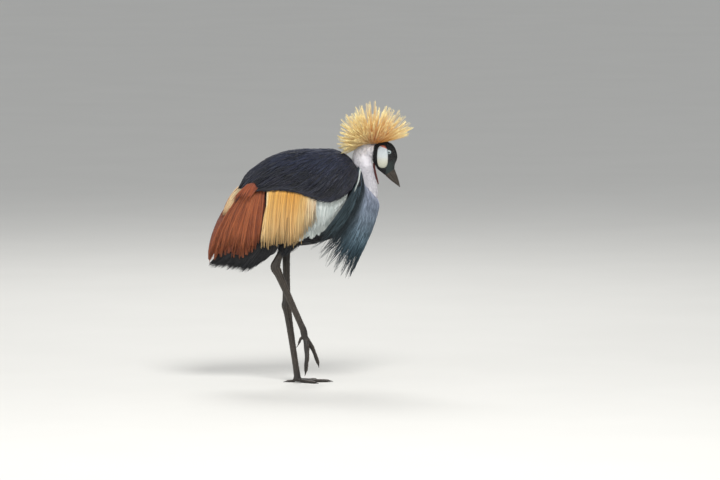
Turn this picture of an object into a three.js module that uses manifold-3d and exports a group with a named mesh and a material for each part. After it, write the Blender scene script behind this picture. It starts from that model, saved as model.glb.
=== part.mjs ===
// Grey crowned crane, life size, in mid step with its head lowered: one leg stands and the other foot hangs.
// Millimetres, +Z up, +X the way it faces, +Y its left. The origin is under the sole of the standing foot.
// The body is a loft along X. The wings, the mantle and the neck plumes are layers over it, each at a
// named height above the body's surface, so that they stack from the body outwards without crossing.
import * as THREE from "three";
import { mergeVertices } from "three/addons/utils/BufferGeometryUtils.js";
import Module from "manifold-3d";

const wasm = await Module();
wasm.setup();

const V = (x, y, z) => new THREE.Vector3(x, y, z);
const { lerp, clamp, degToRad, seededRandom } = THREE.MathUtils;
seededRandom(7);
const between = (low, high) => lerp(low, high, seededRandom());

const GAP = 0.3; // left between nodes that meet
const THICK = [1.5, 0.8]; // of a vane or lock, at its root and at its tip
const LEVEL = 1.9; // from a vane to the one that lies over it

// The body's outline from the side, and its half width from above: x, top, bottom, half width.
const TORSO = [
  [-166, 545, 482, 20],
  [-150, 572, 458, 38],
  [-120, 604, 432, 50],
  [-80, 631, 410, 60],
  [-23, 651, 394, 67],
  [34, 656, 394, 71],
  [91, 656, 408, 71],
  [134, 643, 422, 66],
  [164, 615, 438, 56],
  [186, 576, 456, 44],
  [204, 542, 476, 28],
  [213, 524, 492, 14],
];
const TORSO_SIDES = 24;

// Half width of the wings' inner face behind the body: x, half width.
const DRAPE_HALF = [
  [-262, 30],
  [-200, 42],
  [-166, 48],
  [-150, 50],
  [-120, 54],
  [-80, 60],
];
const DRAPE_FROM = -120; // behind this x the wings keep the body's depth
const DRAPE_PULL = 0.06; // share of the half width lost at the belly's level, where the plumage hangs

// Heights of the layers above the body's surface. A layer's vanes lie at its height and one or two levels up,
// and their roots are sunk in a plate that spans them all.
const PRIMARY_HEIGHT = 1.7;
const PRIMARY_ROOT = [-4, 4.6];
const COVERT_HEIGHT = 8.6;
const COVERT_ROOT = [-3, 13.3];
const SECONDARY_HEIGHT = 6.8;
const SECONDARY_ROOT = [-3, 11.5];
const PLUME_HEIGHT = 15.2;
const PLUME_ROOT = [14.1, 19.7];
const MANTLE_CORE = [10, 22]; // over the spine, and at its two lower edges
const CORE_TURN = degToRad(60); // how far the mantle's core reaches round the body
const WING_TURN = degToRad(66); // where the wings begin

// A smooth curve through the rows of a table, with no overshoot.
function through(table, column = 1) {
  const xs = table.map((row) => row[0]);
  const ys = table.map((row) => row[column]);
  const slope = xs.slice(1).map((x, i) => (ys[i + 1] - ys[i]) / (x - xs[i]));
  const tangent = xs.map((_, i) => {
    if (i === 0) return slope[0];
    if (i === xs.length - 1) return slope[i - 1];
    const flat = slope[i - 1] * slope[i] <= 0;
    return flat ? 0 : 2 / (1 / slope[i - 1] + 1 / slope[i]);
  });
  return (x) => {
    if (x <= xs[0]) return ys[0];
    if (x >= xs[xs.length - 1]) return ys[ys.length - 1];
    const i = xs.findIndex((edge) => x < edge) - 1;
    const h = xs[i + 1] - xs[i];
    const t = (x - xs[i]) / h;
    const t2 = t * t;
    const t3 = t2 * t;
    return (
      ys[i] * (2 * t3 - 3 * t2 + 1) +
      ys[i + 1] * (3 * t2 - 2 * t3) +
      h * tangent[i] * (t3 - 2 * t2 + t) +
      h * tangent[i + 1] * (t3 - t2)
    );
  };
}

// A closed surface as a solid, with its faces turned outwards.
function solidOf(geometry) {
  const bare = geometry.clone();
  bare.deleteAttribute("normal");
  bare.deleteAttribute("uv");
  const merged = mergeVertices(bare, 1e-4);
  const triVerts = new Uint32Array(merged.index.array);
  const vertProperties = new Float32Array(merged.attributes.position.array);
  const make = () =>
    new wasm.Manifold(new wasm.Mesh({ numProp: 3, vertProperties, triVerts }));
  const made = make();
  if (made.volume() > 0) return made;
  for (let i = 0; i < triVerts.length; i += 3) {
    [triVerts[i + 1], triVerts[i + 2]] = [triVerts[i + 2], triVerts[i + 1]];
  }
  return make();
}

function geometryOf(points, faces) {
  return new THREE.BufferGeometry().setFromPoints(points).setIndex(faces);
}

// A closed loft through rings of as many points each. A ring of one point is a tip.
function loft(rings) {
  const faces = [];
  const start = [];
  rings.reduce((sum, ring) => (start.push(sum), sum + ring.length), 0);
  for (let r = 0; r + 1 < rings.length; r++) {
    const n = Math.max(rings[r].length, rings[r + 1].length);
    const at = (k, i) => start[k] + (rings[k].length === 1 ? 0 : i % n);
    for (let i = 0; i < n; i++) {
      const [a, b, c, d] = [at(r, i), at(r, i + 1), at(r + 1, i + 1), at(r + 1, i)];
      if (a !== b) faces.push(a, b, c);
      if (c !== d) faces.push(a, c, d);
    }
  }
  const last = rings.length - 1;
  for (let i = 1; i + 1 < rings[0].length; i++) {
    faces.push(start[0], start[0] + i + 1, start[0] + i);
  }
  for (let i = 1; i + 1 < rings[last].length; i++) {
    faces.push(start[last], start[last] + i, start[last] + i + 1);
  }
  return solidOf(geometryOf(rings.flat(), faces));
}

// A closed plate between two faces, each given as a point at (u, v), with both split alike.
function plate(columns, rows, outer, inner) {
  const points = [];
  const index = (face, i, j) => (face * (columns + 1) + i) * (rows + 1) + j;
  for (const face of [outer, inner]) {
    for (let i = 0; i <= columns; i++) {
      for (let j = 0; j <= rows; j++) points.push(face(i / columns, j / rows));
    }
  }
  const faces = [];
  const quad = (a, b, c, d) => faces.push(a, b, c, a, c, d);
  for (let i = 0; i < columns; i++) {
    for (let j = 0; j < rows; j++) {
      const [a, b, c, d] = [[i, j], [i + 1, j], [i + 1, j + 1], [i, j + 1]];
      quad(index(0, ...a), index(0, ...b), index(0, ...c), index(0, ...d));
      faces.push(index(1, ...a), index(1, ...c), index(1, ...b));
      faces.push(index(1, ...a), index(1, ...d), index(1, ...c));
    }
  }
  for (let i = 0; i < columns; i++) {
    quad(index(1, i, 0), index(1, i + 1, 0), index(0, i + 1, 0), index(0, i, 0));
    quad(index(0, i, rows), index(0, i + 1, rows), index(1, i + 1, rows), index(1, i, rows));
  }
  for (let j = 0; j < rows; j++) {
    quad(index(0, 0, j), index(0, 0, j + 1), index(1, 0, j + 1), index(1, 0, j));
    quad(index(1, columns, j), index(1, columns, j + 1), index(0, columns, j + 1), index(0, columns, j));
  }
  return solidOf(geometryOf(points, faces));
}

// A tube along points, each with a half width across (Y) and a half depth square to that.
function tube(stops, sides = 12) {
  const points = stops.map((stop) => stop.at);
  const rings = stops.map((stop, i) => {
    const ahead = points[Math.min(i + 1, points.length - 1)];
    const behind = points[Math.max(i - 1, 0)];
    const along = ahead.clone().sub(behind).normalize();
    const across = V(0, 1, 0).addScaledVector(along, -along.y).normalize();
    const deep = along.clone().cross(across);
    return Array.from({ length: sides }, (_, k) => {
      const angle = (2 * Math.PI * k) / sides;
      return stop.at
        .clone()
        .addScaledVector(across, stop.wide * Math.cos(angle))
        .addScaledVector(deep, stop.deep * Math.sin(angle));
    });
  });
  return loft(rings);
}

function stop(x, y, z, wide, deep = wide) {
  return { at: V(x, y, z), wide, deep };
}

// A ball at a place, stretched to three radii.
function ball(at, radii, turn = 0, detail = 12) {
  const geometry = new THREE.SphereGeometry(1, detail, Math.round(detail / 2));
  geometry.scale(...radii).rotateY(turn).translate(at.x, at.y, at.z);
  return solidOf(geometry);
}

function largest(solid) {
  const bodies = solid.decompose();
  return bodies.reduce((best, body) => (body.volume() > best.volume() ? body : best));
}

const union = (pieces) => wasm.Manifold.union(pieces);
const cutBy = (solid, ...others) => others.reduce((left, other) => left.subtract(other), solid);
const mirrored = (solid) => solid.mirror([0, 1, 0]);

const torsoTop = through(TORSO, 1);
const torsoBottom = through(TORSO, 2);
const torsoHalf = through(TORSO, 3);
const drapeHalf = through(DRAPE_HALF);

function station(x) {
  return {
    mid: (torsoTop(x) + torsoBottom(x)) / 2,
    tall: (torsoTop(x) - torsoBottom(x)) / 2,
    half: torsoHalf(x),
  };
}

// A point on the body at x, turned by an angle from the top towards the left, and raised by a height.
function onBody(x, turn, raise) {
  const at = station(x);
  return V(x, (at.half + raise) * Math.sin(turn), at.mid + (at.tall + raise) * Math.cos(turn));
}

function torso(grow) {
  const ends = [TORSO[0][0], TORSO[TORSO.length - 1][0]];
  const rings = TORSO.map(([x]) => {
    const past = x === ends[0] ? -grow : x === ends[1] ? grow : 0;
    return Array.from({ length: TORSO_SIDES }, (_, i) => {
      const point = onBody(x, (2 * Math.PI * i) / TORSO_SIDES, grow);
      point.x += past;
      return point;
    });
  });
  return loft(rings);
}

// Half width under the wings, which is the body's, or the drape's behind it.
function wingHalf(x) {
  return Math.max(x < -80 ? drapeHalf(x) : 0, x > -120 ? torsoHalf(x) : 0);
}

// The left flank: its distance from the middle plane at x and z, raised by a height above the body.
// It follows the body above its widest level, and hangs nearly straight down below it.
function flankY(x, z, raise) {
  const at = station(Math.max(x, DRAPE_FROM));
  const half = wingHalf(x) + raise;
  const level = (z - at.mid) / (at.tall + raise);
  if (level > 0) return half * Math.sqrt(Math.max(0.02, 1 - level * level));
  return half * (1 - DRAPE_PULL * level * level);
}

function onFlank(x, z, raise) {
  return V(x, flankY(x, z, raise), z);
}

// The level of the flank that is turned by an angle from the top.
function levelAt(x, turn, raise) {
  const at = station(Math.max(x, DRAPE_FROM));
  return at.mid + (at.tall + raise) * Math.cos(turn);
}

// A plate on the left flank between two x, from a lower to an upper edge, between two heights.
function flankPlate({ from, to, bottom, top, layer, columns, rows }, grow = 0) {
  const face = (raise) => (u, v) => {
    const x = lerp(from, to, u);
    const point = onFlank(x, lerp(bottom(x) - grow, top(x) + grow, v), raise);
    point.x = lerp(from - grow, to + grow, u);
    return point;
  };
  return plate(columns, rows, face(layer[1] + grow), face(layer[0] - grow));
}

// A curve in the plane from a root to a tip, bent towards a third point.
function bent(root, bend, tip) {
  return (t) => [0, 1].map((k) => (1 - t) ** 2 * root[k] + 2 * t * (1 - t) * bend[k] + t * t * tip[k]);
}

// How wide a vane is along its length, as a share of its full width: narrow root, full middle, round tip.
const tipRound = (t) => Math.sqrt(Math.max(0, 1 - Math.max(0, (t - 0.72) / 0.3) ** 2));
const vaneShape = (t) => Math.min(1, 0.35 + 1.3 * t) * tipRound(t);
// A lock keeps tapering to a point.
const lockShape = (t) => Math.min(1, 0.35 + 1.6 * t) * Math.max(0.08, 1 - t ** 2.2);

// A flat vane or lock along a curve on a sheet. The sheet gives the point at (a, b) and a height,
// and a scale turns b into millimetres. The height runs from the root's to the tip's.
function vane({ sheet, curve, half, heights, shape, steps, scale = 1 }) {
  const face = (side) => (u, v) => {
    const [a, b] = curve(u);
    const near = curve(Math.max(0, u - 0.02));
    const far = curve(Math.min(1, u + 0.02));
    const way = [far[0] - near[0], (far[1] - near[1]) * scale];
    const length = Math.hypot(...way);
    const across = (2 * v - 1) * half * Math.max(0.06, shape(u));
    const raise = lerp(heights[0], heights[1], u) + (side * lerp(THICK[0], THICK[1], u)) / 2;
    return sheet(a - (across * way[1]) / length, b + (across * way[0]) / length / scale, raise);
  };
  return plate(steps, 1, face(1), face(-1));
}

// A line through rows of share, x and z, as a function of the share.
function line(rows) {
  const x = through(rows, 1);
  const z = through(rows, 2);
  return (u) => [x(u), z(u)];
}

// A row of vanes side by side, from a line of roots to a line of tips. Each lies a level over the one before,
// and every few start again from the lowest, so that no two at one level touch. Those over are shorter.
function row({
  sheet, shape, steps, roots, tips, bow, half, height, count, levels = 3, shorten = 0.09, lift = LEVEL, wave = 0,
}) {
  return Array.from({ length: count }, (_, i) => {
    const u = i / (count - 1);
    const level = i % levels;
    const [root, tip, [out, up]] = [roots(u), tips(u), bow(u)];
    const bend = [lerp(root[0], tip[0], 0.5) + out, lerp(root[1], tip[1], 0.5) + up];
    const whole = bent(root, bend, tip);
    const curve = (t) => {
      const [x, z] = whole(t * (1 - shorten * level));
      return [x + wave * Math.sin(3 * t + 2 * i), z];
    };
    const over = height + lift * level;
    return vane({ sheet, curve, half, heights: [over, over], shape, steps });
  });
}

const MATERIALS = {
  slate: { color: 0x20242f, roughness: 0.55 },
  grey: { color: 0x3a4048, roughness: 0.7 },
  pale: { color: 0xd6d3d6, roughness: 0.8 },
  white: { color: 0xdcdfd8, roughness: 0.75 },
  gold: { color: 0xd9a54a, roughness: 0.6 },
  chestnut: { color: 0x7a3a20, roughness: 0.65 },
  black: { color: 0x111116, roughness: 0.5 },
  velvet: { color: 0x0b0b0d, roughness: 0.85 },
  horn: { color: 0x3b372f, roughness: 0.4 },
  leg: { color: 0x2c2926, roughness: 0.6 },
  skin: { color: 0xe4e4dc, roughness: 0.55 },
  red: { color: 0x9c2f22, roughness: 0.5 },
  eye: { color: 0xb9cbd6, roughness: 0.1 },
};

const crane = new THREE.Group();

function addNode(name, material, solid) {
  const mesh = largest(solid).getMesh();
  const geometry = new THREE.BufferGeometry();
  geometry.setAttribute("position", new THREE.BufferAttribute(new Float32Array(mesh.vertProperties), 3));
  geometry.setIndex(new THREE.BufferAttribute(new Uint32Array(mesh.triVerts), 1));
  const finish = new THREE.MeshStandardMaterial({ ...MATERIALS[material], metalness: 0 });
  const node = new THREE.Mesh(geometry, finish);
  node.name = name;
  crane.add(node);
}

function addPair(name, material, leftSolid) {
  addNode(`${name}_left`, material, leftSolid);
  addNode(`${name}_right`, material, mirrored(leftSolid));
}

const torsoRoom = torso(GAP);
addNode("torso", "grey", torso(0));

// The neck, from the breast up and forward into the back of the head: x, z, half width, half depth.
const NECK = [
  [186, 462, 30, 24],
  [196, 488, 32, 25],
  [204, 520, 27, 23],
  [205, 548, 24, 24],
  [200, 578, 22.5, 23.5],
  [192, 608, 22.5, 24.5],
  [185, 634, 23, 26.5],
  [188, 654, 22, 25],
  [200, 666, 19, 20],
  [216, 667, 17, 17],
];
const NECK_SPLIT = 548;

function neck(grow) {
  return tube(NECK.map(([x, z, wide, deep]) => stop(x, 0, z, wide + grow, deep + grow)), 12);
}

const neckSolid = neck(0);
const neckRoom = neck(GAP);

// The core of the mantle, arched over the back between the body's own stations.
const CORE_ROWS = 8;
const coreStations = TORSO.map(([x]) => x).slice(1, -3);

function mantleCore(grow) {
  const face = (outer) => (u, v) => {
    const x = coreStations[Math.round(u * (coreStations.length - 1))];
    const turn = lerp(-CORE_TURN, CORE_TURN, v);
    const side = Math.abs(turn) / CORE_TURN;
    const grown = turn * (1 + grow / 60);
    return onBody(x, grown, outer ? lerp(MANTLE_CORE[0], MANTLE_CORE[1], side) + grow : GAP);
  };
  return plate(coreStations.length - 1, CORE_ROWS, face(true), face(false));
}
const coreRoom = mantleCore(GAP);

// The wings' white coverts: long vanes that sweep down and back over the flank from under the mantle.
const COVERTS = {
  from: -88,
  to: 172,
  bottom: through([[-88, 540], [0, 532], [50, 514], [86, 507], [110, 510], [140, 524], [172, 548]]),
  top: (x) => levelAt(x, WING_TURN, COVERT_ROOT[1]),
  layer: COVERT_ROOT,
  columns: 8,
  rows: 2,
};
const covertRoom = flankPlate(COVERTS, GAP);
const covertVanes = row({
  sheet: onFlank,
  count: 10,
  roots: line([[0, 16, 552], [0.5, 86, 530], [1, 158, 548]]),
  tips: line([[0, 2, 414], [0.4, 58, 424], [0.75, 108, 466], [1, 144, 510]]),
  bow: () => [8, 0],
  half: 15,
  height: COVERT_HEIGHT,
  shape: vaneShape,
  steps: 4,
});
addPair("wing_coverts", "white", cutBy(
  union([flankPlate(COVERTS), ...covertVanes]),
  torsoRoom,
  neckRoom,
  coreRoom,
));

// Chestnut secondaries, drooping behind the wing: the longest vanes, fanned from a root on the flank.
const SECONDARIES = {
  from: -150,
  to: -88 - 2 * GAP,
  bottom: through([[-150, 530], [-120, 518], [-88, 506]]),
  top: (x) => levelAt(x, WING_TURN, SECONDARY_ROOT[1]),
  layer: SECONDARY_ROOT,
  columns: 3,
  rows: 2,
};
const secondaryVanes = row({
  sheet: onFlank,
  count: 11,
  shorten: 0.14,
  roots: line([[0, -142, 548], [1, -98, 520]]),
  tips: line([
    [0, -246, 354], [0.12, -236, 358], [0.3, -210, 370], [0.5, -180, 366],
    [0.68, -152, 362], [0.85, -126, 382], [1, -102, 414],
  ]),
  bow: (u) => [-34 * (1 - u), 18 * (1 - u)],
  half: 15,
  height: SECONDARY_HEIGHT,
  shape: vaneShape,
  steps: 5,
});
addPair("wing_secondaries", "chestnut", cutBy(
  union([flankPlate(SECONDARIES), ...secondaryVanes]),
  torsoRoom,
  covertRoom,
  coreRoom,
));

// Gold plumes: soft locks that fall from under the mantle over the coverts' rear half.
const PLUMES = {
  from: -84,
  to: 44,
  bottom: () => 552,
  top: (x) => levelAt(x, WING_TURN, PLUME_ROOT[1]),
  layer: PLUME_ROOT,
  columns: 5,
  rows: 1,
};
const plumeLocks = row({
  sheet: onFlank,
  count: 13,
  shorten: 0.12,
  roots: line([[0, -76, 560], [1, 36, 560]]),
  tips: line([[0, -98, 388], [0.25, -72, 382], [0.7, -8, 384], [0.85, 12, 404], [1, 40, 452]]),
  bow: () => [-6, 0],
  half: 11.5,
  height: PLUME_HEIGHT,
  shape: lockShape,
  steps: 4,
  wave: 2.5,
});
addPair("wing_plumes", "gold", union([flankPlate(PLUMES), ...plumeLocks]));

// Black primaries, under the secondaries, with their tips showing below them.
const PRIMARIES = {
  from: -136,
  to: -72,
  bottom: through([[-136, 440], [-72, 402]]),
  top: through([[-136, 468], [-72, 440]]),
  layer: PRIMARY_ROOT,
  columns: 3,
  rows: 1,
};
const primaryVanes = row({
  sheet: onFlank,
  count: 8,
  levels: 2,
  roots: line([[0, -128, 456], [1, -80, 412]]),
  tips: line([
    [0, -250, 336], [0.2, -238, 331], [0.4, -212, 329],
    [0.6, -178, 322], [0.8, -144, 320], [1, -104, 344],
  ]),
  bow: (u) => [4 - 8 * (1 - u), -10],
  half: 13,
  height: PRIMARY_HEIGHT,
  shape: vaneShape,
  steps: 4,
});
addPair("wing_primaries", "black", cutBy(union([flankPlate(PRIMARIES), ...primaryVanes]), torsoRoom));

// The tail, between the primaries: two tiers of vanes on a root that grows from the rump.
const TAIL_LINE = [[-140, 520], [-196, 470], [-226, 350]];
const TAIL_LENGTH = 180;
const TAIL_ARCH = 0.018; // how fast its back falls to each side
const TAIL_ROOT = { length: 48, half: 15, layer: [-4, 9] };
const TAIL_FEATHERS = 4;
const TAIL_TIERS = [
  { length: 178, height: -1.5 },
  { length: 142, height: 2.5 },
];

// The tail's own sheet: along its length, across it, and raised off its arched back.
function onTail(along, across, raise) {
  const line = bent(...TAIL_LINE);
  const t = along / TAIL_LENGTH;
  const middle = line(t);
  const ahead = line(t + 0.01);
  const way = V(ahead[0] - middle[0], 0, ahead[1] - middle[1]).normalize();
  return V(middle[0], across, middle[1])
    .addScaledVector(V(way.z, 0, -way.x), 7 - TAIL_ARCH * across * across + raise);
}
const tailFace = (raise) => (u, v) => onTail(TAIL_ROOT.length * u, TAIL_ROOT.half * (2 * v - 1), raise);
const tailRoot = plate(3, 2, tailFace(TAIL_ROOT.layer[1]), tailFace(TAIL_ROOT.layer[0]));
const tailVanes = TAIL_TIERS.flatMap(({ length, height }) => Array.from({ length: TAIL_FEATHERS }, (_, i) => {
  const side = (2 * i) / (TAIL_FEATHERS - 1) - 1;
  const over = height + LEVEL * (i % 2);
  return vane({
    sheet: onTail,
    curve: bent([28, side * 8], [90, side * 11], [length - 8 * Math.abs(side), side * 13]),
    half: 6,
    heights: [over, over],
    shape: vaneShape,
    steps: 3,
  });
}));
addNode("tail", "black", cutBy(union([tailRoot, ...tailVanes]), torsoRoom));

// The dark mantle: its core, and tiers of long vanes that fall from it over the wings' upper edge.
const mantleEdge = through([
  [-182, 528], [-150, 552], [-88, 554], [-54, 556], [2, 548],
  [53, 528], [86, 521], [108, 526], [137, 543], [160, 571], [174, 590],
]);
const BACK_METRIC = 80; // millimetres round the back for each radian of turn
const MANTLE_EDGE_HEIGHT = 25;
const MANTLE_ROOT_MOST = 158; // the vanes' roots stay behind this x, inside the core

// The sheet that the mantle's vanes lie on: x, turn from the top, and height, over body and drape alike.
function onBack(x, turn, raise) {
  const at = station(x);
  const half = wingHalf(x) + raise;
  return V(x, half * Math.sin(turn), at.mid + (at.tall + raise) * Math.cos(turn));
}

// How far round the body the mantle's lower edge lies at x.
function edgeTurn(x) {
  const at = station(x);
  return Math.acos(clamp((mantleEdge(x) - at.mid) / (at.tall + MANTLE_EDGE_HEIGHT), -0.4, 0.9));
}

// Two tiers on each side, the lower one along the edge: how far up from the edge it lies, how long its
// vanes are, how far round the back they run, and their heights at root and tip.
const MANTLE_TIERS = [
  { count: 9, up: 0, from: -180, to: 158, reach: 84, rise: 0.42, heights: [18.4, 24.4], half: 14 },
  { count: 5, up: 0.52, from: -160, to: 130, reach: 84, rise: 0.34, heights: [14, 22], half: 17 },
];
const SPINE_TIPS = [-176, -60];
const SPINE_HEIGHTS = [7, 14];

function mantleVane(root, tip, heights, half) {
  return vane({
    sheet: onBack,
    curve: bent(root, [lerp(root[0], tip[0], 0.5), lerp(root[1], tip[1], 0.35)], tip),
    half,
    heights,
    shape: vaneShape,
    steps: 3,
    scale: BACK_METRIC,
  });
}
const mantleVanes = MANTLE_TIERS.flatMap(({ count, up, from, to, reach, rise, heights, half }) =>
  Array.from({ length: count }, (_, i) => {
    const x = lerp(from, to, i / (count - 1));
    const turn = edgeTurn(x) - up;
    const root = [Math.min(x + reach, MANTLE_ROOT_MOST), Math.min(turn - rise, CORE_TURN - 0.12)];
    return mantleVane(root, [x, turn], heights.map((height) => height + LEVEL * (i % 2)), half);
  }));
const spineVanes = SPINE_TIPS.map((x) =>
  mantleVane([Math.min(x + 110, MANTLE_ROOT_MOST), 0], [x, 0], SPINE_HEIGHTS, 15));
addNode("mantle", "slate", cutBy(
  union([mantleCore(0), ...mantleVanes, ...mantleVanes.map(mirrored), ...spineVanes]),
  neckRoom,
));

// The head in its own frame: forward along the bill, and up through the crown, both in the middle plane.
const HEAD_AT = V(249, 0, 650);
const HEAD_PITCH = degToRad(55);
const HEAD_FORWARD = V(Math.cos(HEAD_PITCH), 0, -Math.sin(HEAD_PITCH));
const HEAD_UP = V(Math.sin(HEAD_PITCH), 0, Math.cos(HEAD_PITCH));

function inHead(forward, side, up) {
  return HEAD_AT.clone().addScaledVector(HEAD_FORWARD, forward).addScaledVector(HEAD_UP, up).add(V(0, side, 0));
}

// A loft along the bill's line: forward, top, bottom, half width.
function headLoft(rows, grow, sides) {
  return loft(rows.map(([forward, top, bottom, half], r) => {
    const past = r === 0 ? -grow : r === rows.length - 1 ? grow : 0;
    return Array.from({ length: sides }, (_, i) => {
      const angle = (2 * Math.PI * i) / sides;
      const up = (top + bottom) / 2 + ((top - bottom) / 2 + grow) * Math.cos(angle);
      return inHead(forward + past, (half + grow) * Math.sin(angle), up);
    });
  }));
}

const SKULL = [
  [-37, 8, -12, 8],
  [-32, 19, -22, 14],
  [-22, 29, -30, 19],
  [-10, 35, -34, 22],
  [2, 36, -36, 23],
  [13, 34, -37, 22.5],
  [22, 30, -37.5, 20],
  [30, 24, -36.5, 17],
  [37, 13, -34.5, 14],
  [44, 5, -32.5, 11.5],
  [50, 1.5, -31, 10],
];
const BILL = [
  [42, 2.5, -30.5, 10],
  [50, 1, -30.5, 9.4],
  [60, -1.5, -28.8, 7.8],
  [72, -4.5, -25.6, 6],
  [84, -8.5, -21.6, 4.2],
  [94, -12.4, -18.4, 2.4],
  [100, -15.2, -16.8, 1],
];
const MOUTH_LEVEL = -16.2;
const HEAD_SIDES = 16;
const skullRoom = headLoft(SKULL, GAP, HEAD_SIDES);

const EYE_AT = inHead(-0.7, 15.6, 16.4);
const EYE_RADIUS = 7.4;
const eyeBall = (grow) => ball(EYE_AT, [EYE_RADIUS + grow, EYE_RADIUS + grow, EYE_RADIUS + grow], 0, 12);
const eyeRoom = eyeBall(GAP);
const LID_RADIUS = 6.6;

function lid() {
  const ring = new THREE.TorusGeometry(LID_RADIUS, 1.5, 4, 10);
  ring.rotateX(Math.PI / 2).rotateZ(degToRad(-8)).translate(EYE_AT.x, EYE_AT.y + 4.2, EYE_AT.z);
  return solidOf(ring);
}
const skullWithLids = union([headLoft(SKULL, 0, HEAD_SIDES), lid(), mirrored(lid())]);
addNode("head", "velvet", cutBy(skullWithLids, eyeRoom, mirrored(eyeRoom)));
addPair("eye", "eye", eyeBall(0));

// The bare white cheek patch, an oval raised on the side of the head.
const CHEEK_AT = V(244.5, 0, 646);
const CHEEK_HALF = [16.5, 30];
const CHEEK_RAISE = 2.2;
const oval = new THREE.Shape().absellipse(0, 0, ...CHEEK_HALF, 0, 2 * Math.PI);
const ovalBlock = new THREE.ExtrudeGeometry(oval, { depth: 40, bevelEnabled: false, curveSegments: 8 });
ovalBlock.rotateX(Math.PI / 2).translate(CHEEK_AT.x, 42, CHEEK_AT.z);
const lidRoom = ball(EYE_AT.clone().add(V(0, 4.2, 0)), [LID_RADIUS + 2, 6, LID_RADIUS + 2], 0, 12);
addPair("cheek", "skin", cutBy(
  headLoft(SKULL, CHEEK_RAISE, HEAD_SIDES).intersect(solidOf(ovalBlock)),
  skullRoom,
  lidRoom,
));

// The bill, parted along the mouth, with a slot of a nostril on each side.
const billUp = [HEAD_UP.x, HEAD_UP.y, HEAD_UP.z];
const billDown = billUp.map((value) => -value);
const mouth = HEAD_AT.dot(HEAD_UP) + MOUTH_LEVEL;
const bill = headLoft(BILL, 0, 12);
const nostrils = [-1, 1].map((side) => ball(inHead(61, side * 7.4, -8.6), [4.2, 1.6, 1.3], HEAD_PITCH, 8));
addNode("bill_upper", "horn", cutBy(bill.trimByPlane(billUp, mouth + GAP / 2), skullRoom, ...nostrils));
addNode("bill_lower", "horn", cutBy(bill.trimByPlane(billDown, -mouth + GAP / 2), skullRoom));

const neckAbove = neckSolid.trimByPlane([0, 0, 1], NECK_SPLIT + GAP / 2);
const neckBelow = neckSolid.trimByPlane([0, 0, -1], -NECK_SPLIT + GAP / 2);
addNode("neck_upper", "pale", cutBy(neckAbove, skullRoom, torsoRoom));
addNode("neck_lower", "pale", cutBy(neckBelow, torsoRoom));

// The red wattle under the chin, lying along the throat.
addNode("wattle", "red", cutBy(tube([
  stop(219, 0, 628, 3, 4),
  stop(220, 0, 612, 5, 5),
  stop(224, 0, 594, 5.5, 4.5),
  stop(229, 0, 578, 4.5, 3.5),
  stop(232, 0, 567, 2, 1.6),
], 10), skullRoom, neckRoom));

// The crest: stiff bristles that fan from a pad on the nape, evenly over a dome that leans back a little.
const CREST_PAD = V(215, 0, 681);
const CREST_PAD_RADII = [29, 16, 9];
const CREST_LEAN = degToRad(110); // the fan's middle, from forward through up
const CREST_OPEN = degToRad(93);
const CREST_SIDEWAYS = 0.72; // how far the fan opens sideways, as a share of fore and aft
const CREST_LENGTH = { least: 88, up: 36, forward: 14, droop: 5 };
const BRISTLES = 66;
const BRISTLE_RINGS = [[0, 1.4], [0.6, 1.05]]; // share of the length, radius
const GOLDEN_ANGLE = Math.PI * (3 - Math.sqrt(5));

function bristle(i) {
  const away = CREST_OPEN * Math.sqrt((i + 0.5) / BRISTLES);
  const round = i * GOLDEN_ANGLE;
  const open = away * lerp(1, CREST_SIDEWAYS, Math.sin(round) ** 2);
  const way = V(Math.cos(CREST_LEAN), 0, Math.sin(CREST_LEAN)).multiplyScalar(Math.cos(open))
    .addScaledVector(V(Math.sin(CREST_LEAN), 0, -Math.cos(CREST_LEAN)), Math.sin(open) * Math.cos(round))
    .addScaledVector(V(0, 1, 0), Math.sin(open) * Math.sin(round));
  const { least, up, forward, droop } = CREST_LENGTH;
  const length = (least + up * Math.max(0, way.z) + forward * way.x) * between(0.93, 1.03);
  const root = CREST_PAD.clone().add(V(17 * way.x, 9 * way.y, 3.5));
  const at = (t) => root.clone().addScaledVector(way, length * t).add(V(0, 0, -droop * (1 - way.z) * t * t));
  const across = way.clone().cross(V(0.3, 0.9, 0.1)).normalize();
  const deep = way.clone().cross(across);
  const rings = BRISTLE_RINGS.map(([t, radius]) => [0, 1, 2].map((k) => at(t)
    .addScaledVector(across, radius * Math.cos((2 * Math.PI * k) / 3))
    .addScaledVector(deep, radius * Math.sin((2 * Math.PI * k) / 3))));
  return loft([...rings, [at(1)]]);
}
addNode("crest", "gold", cutBy(union([
  ball(CREST_PAD, CREST_PAD_RADII, 0, 10),
  ...Array.from({ length: BRISTLES }, (_, i) => bristle(i)),
]), skullRoom, neckRoom));

// The dark plumes of the lower neck hang as a bib round the breast and over the front of the wing.
// The bib's plan at each level is half an ellipse behind its front edge.
const bibFront = through([
  [290, 150], [335, 158], [362, 172], [398, 189], [429, 206], [461, 221], [490, 231], [530, 236], [560, 237],
]);
const bibHalf = through([[290, 62], [335, 70], [398, 80], [440, 80], [480, 70], [510, 53], [546, 31]]);
const bibDepth = through([[398, 104], [440, 98], [480, 80], [510, 58], [546, 32]]);
const BIB_ROUND = 130; // millimetres round from the front to the side
const BIB_CLEAR = 21; // height of the bib where it lies on the wing
const BIB_ON_WING = [170, 195]; // the wing carries it up to the first x, and no more past the second

// A quarter of an ellipse from the front to the side, and straight back from there.
function onBib(round, z, raise) {
  const turn = (Math.min(round / BIB_ROUND, 1) * Math.PI) / 2;
  const back = Math.max(round - BIB_ROUND, 0);
  const x = bibFront(z) + raise - (bibDepth(z) + raise) * (1 - Math.cos(turn)) - back;
  const carried = clamp((BIB_ON_WING[1] - x) / (BIB_ON_WING[1] - BIB_ON_WING[0]), 0, 1);
  return V(x, Math.max((bibHalf(z) + raise) * Math.sin(turn), carried * flankY(x, z, BIB_CLEAR + raise)), z);
}

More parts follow.
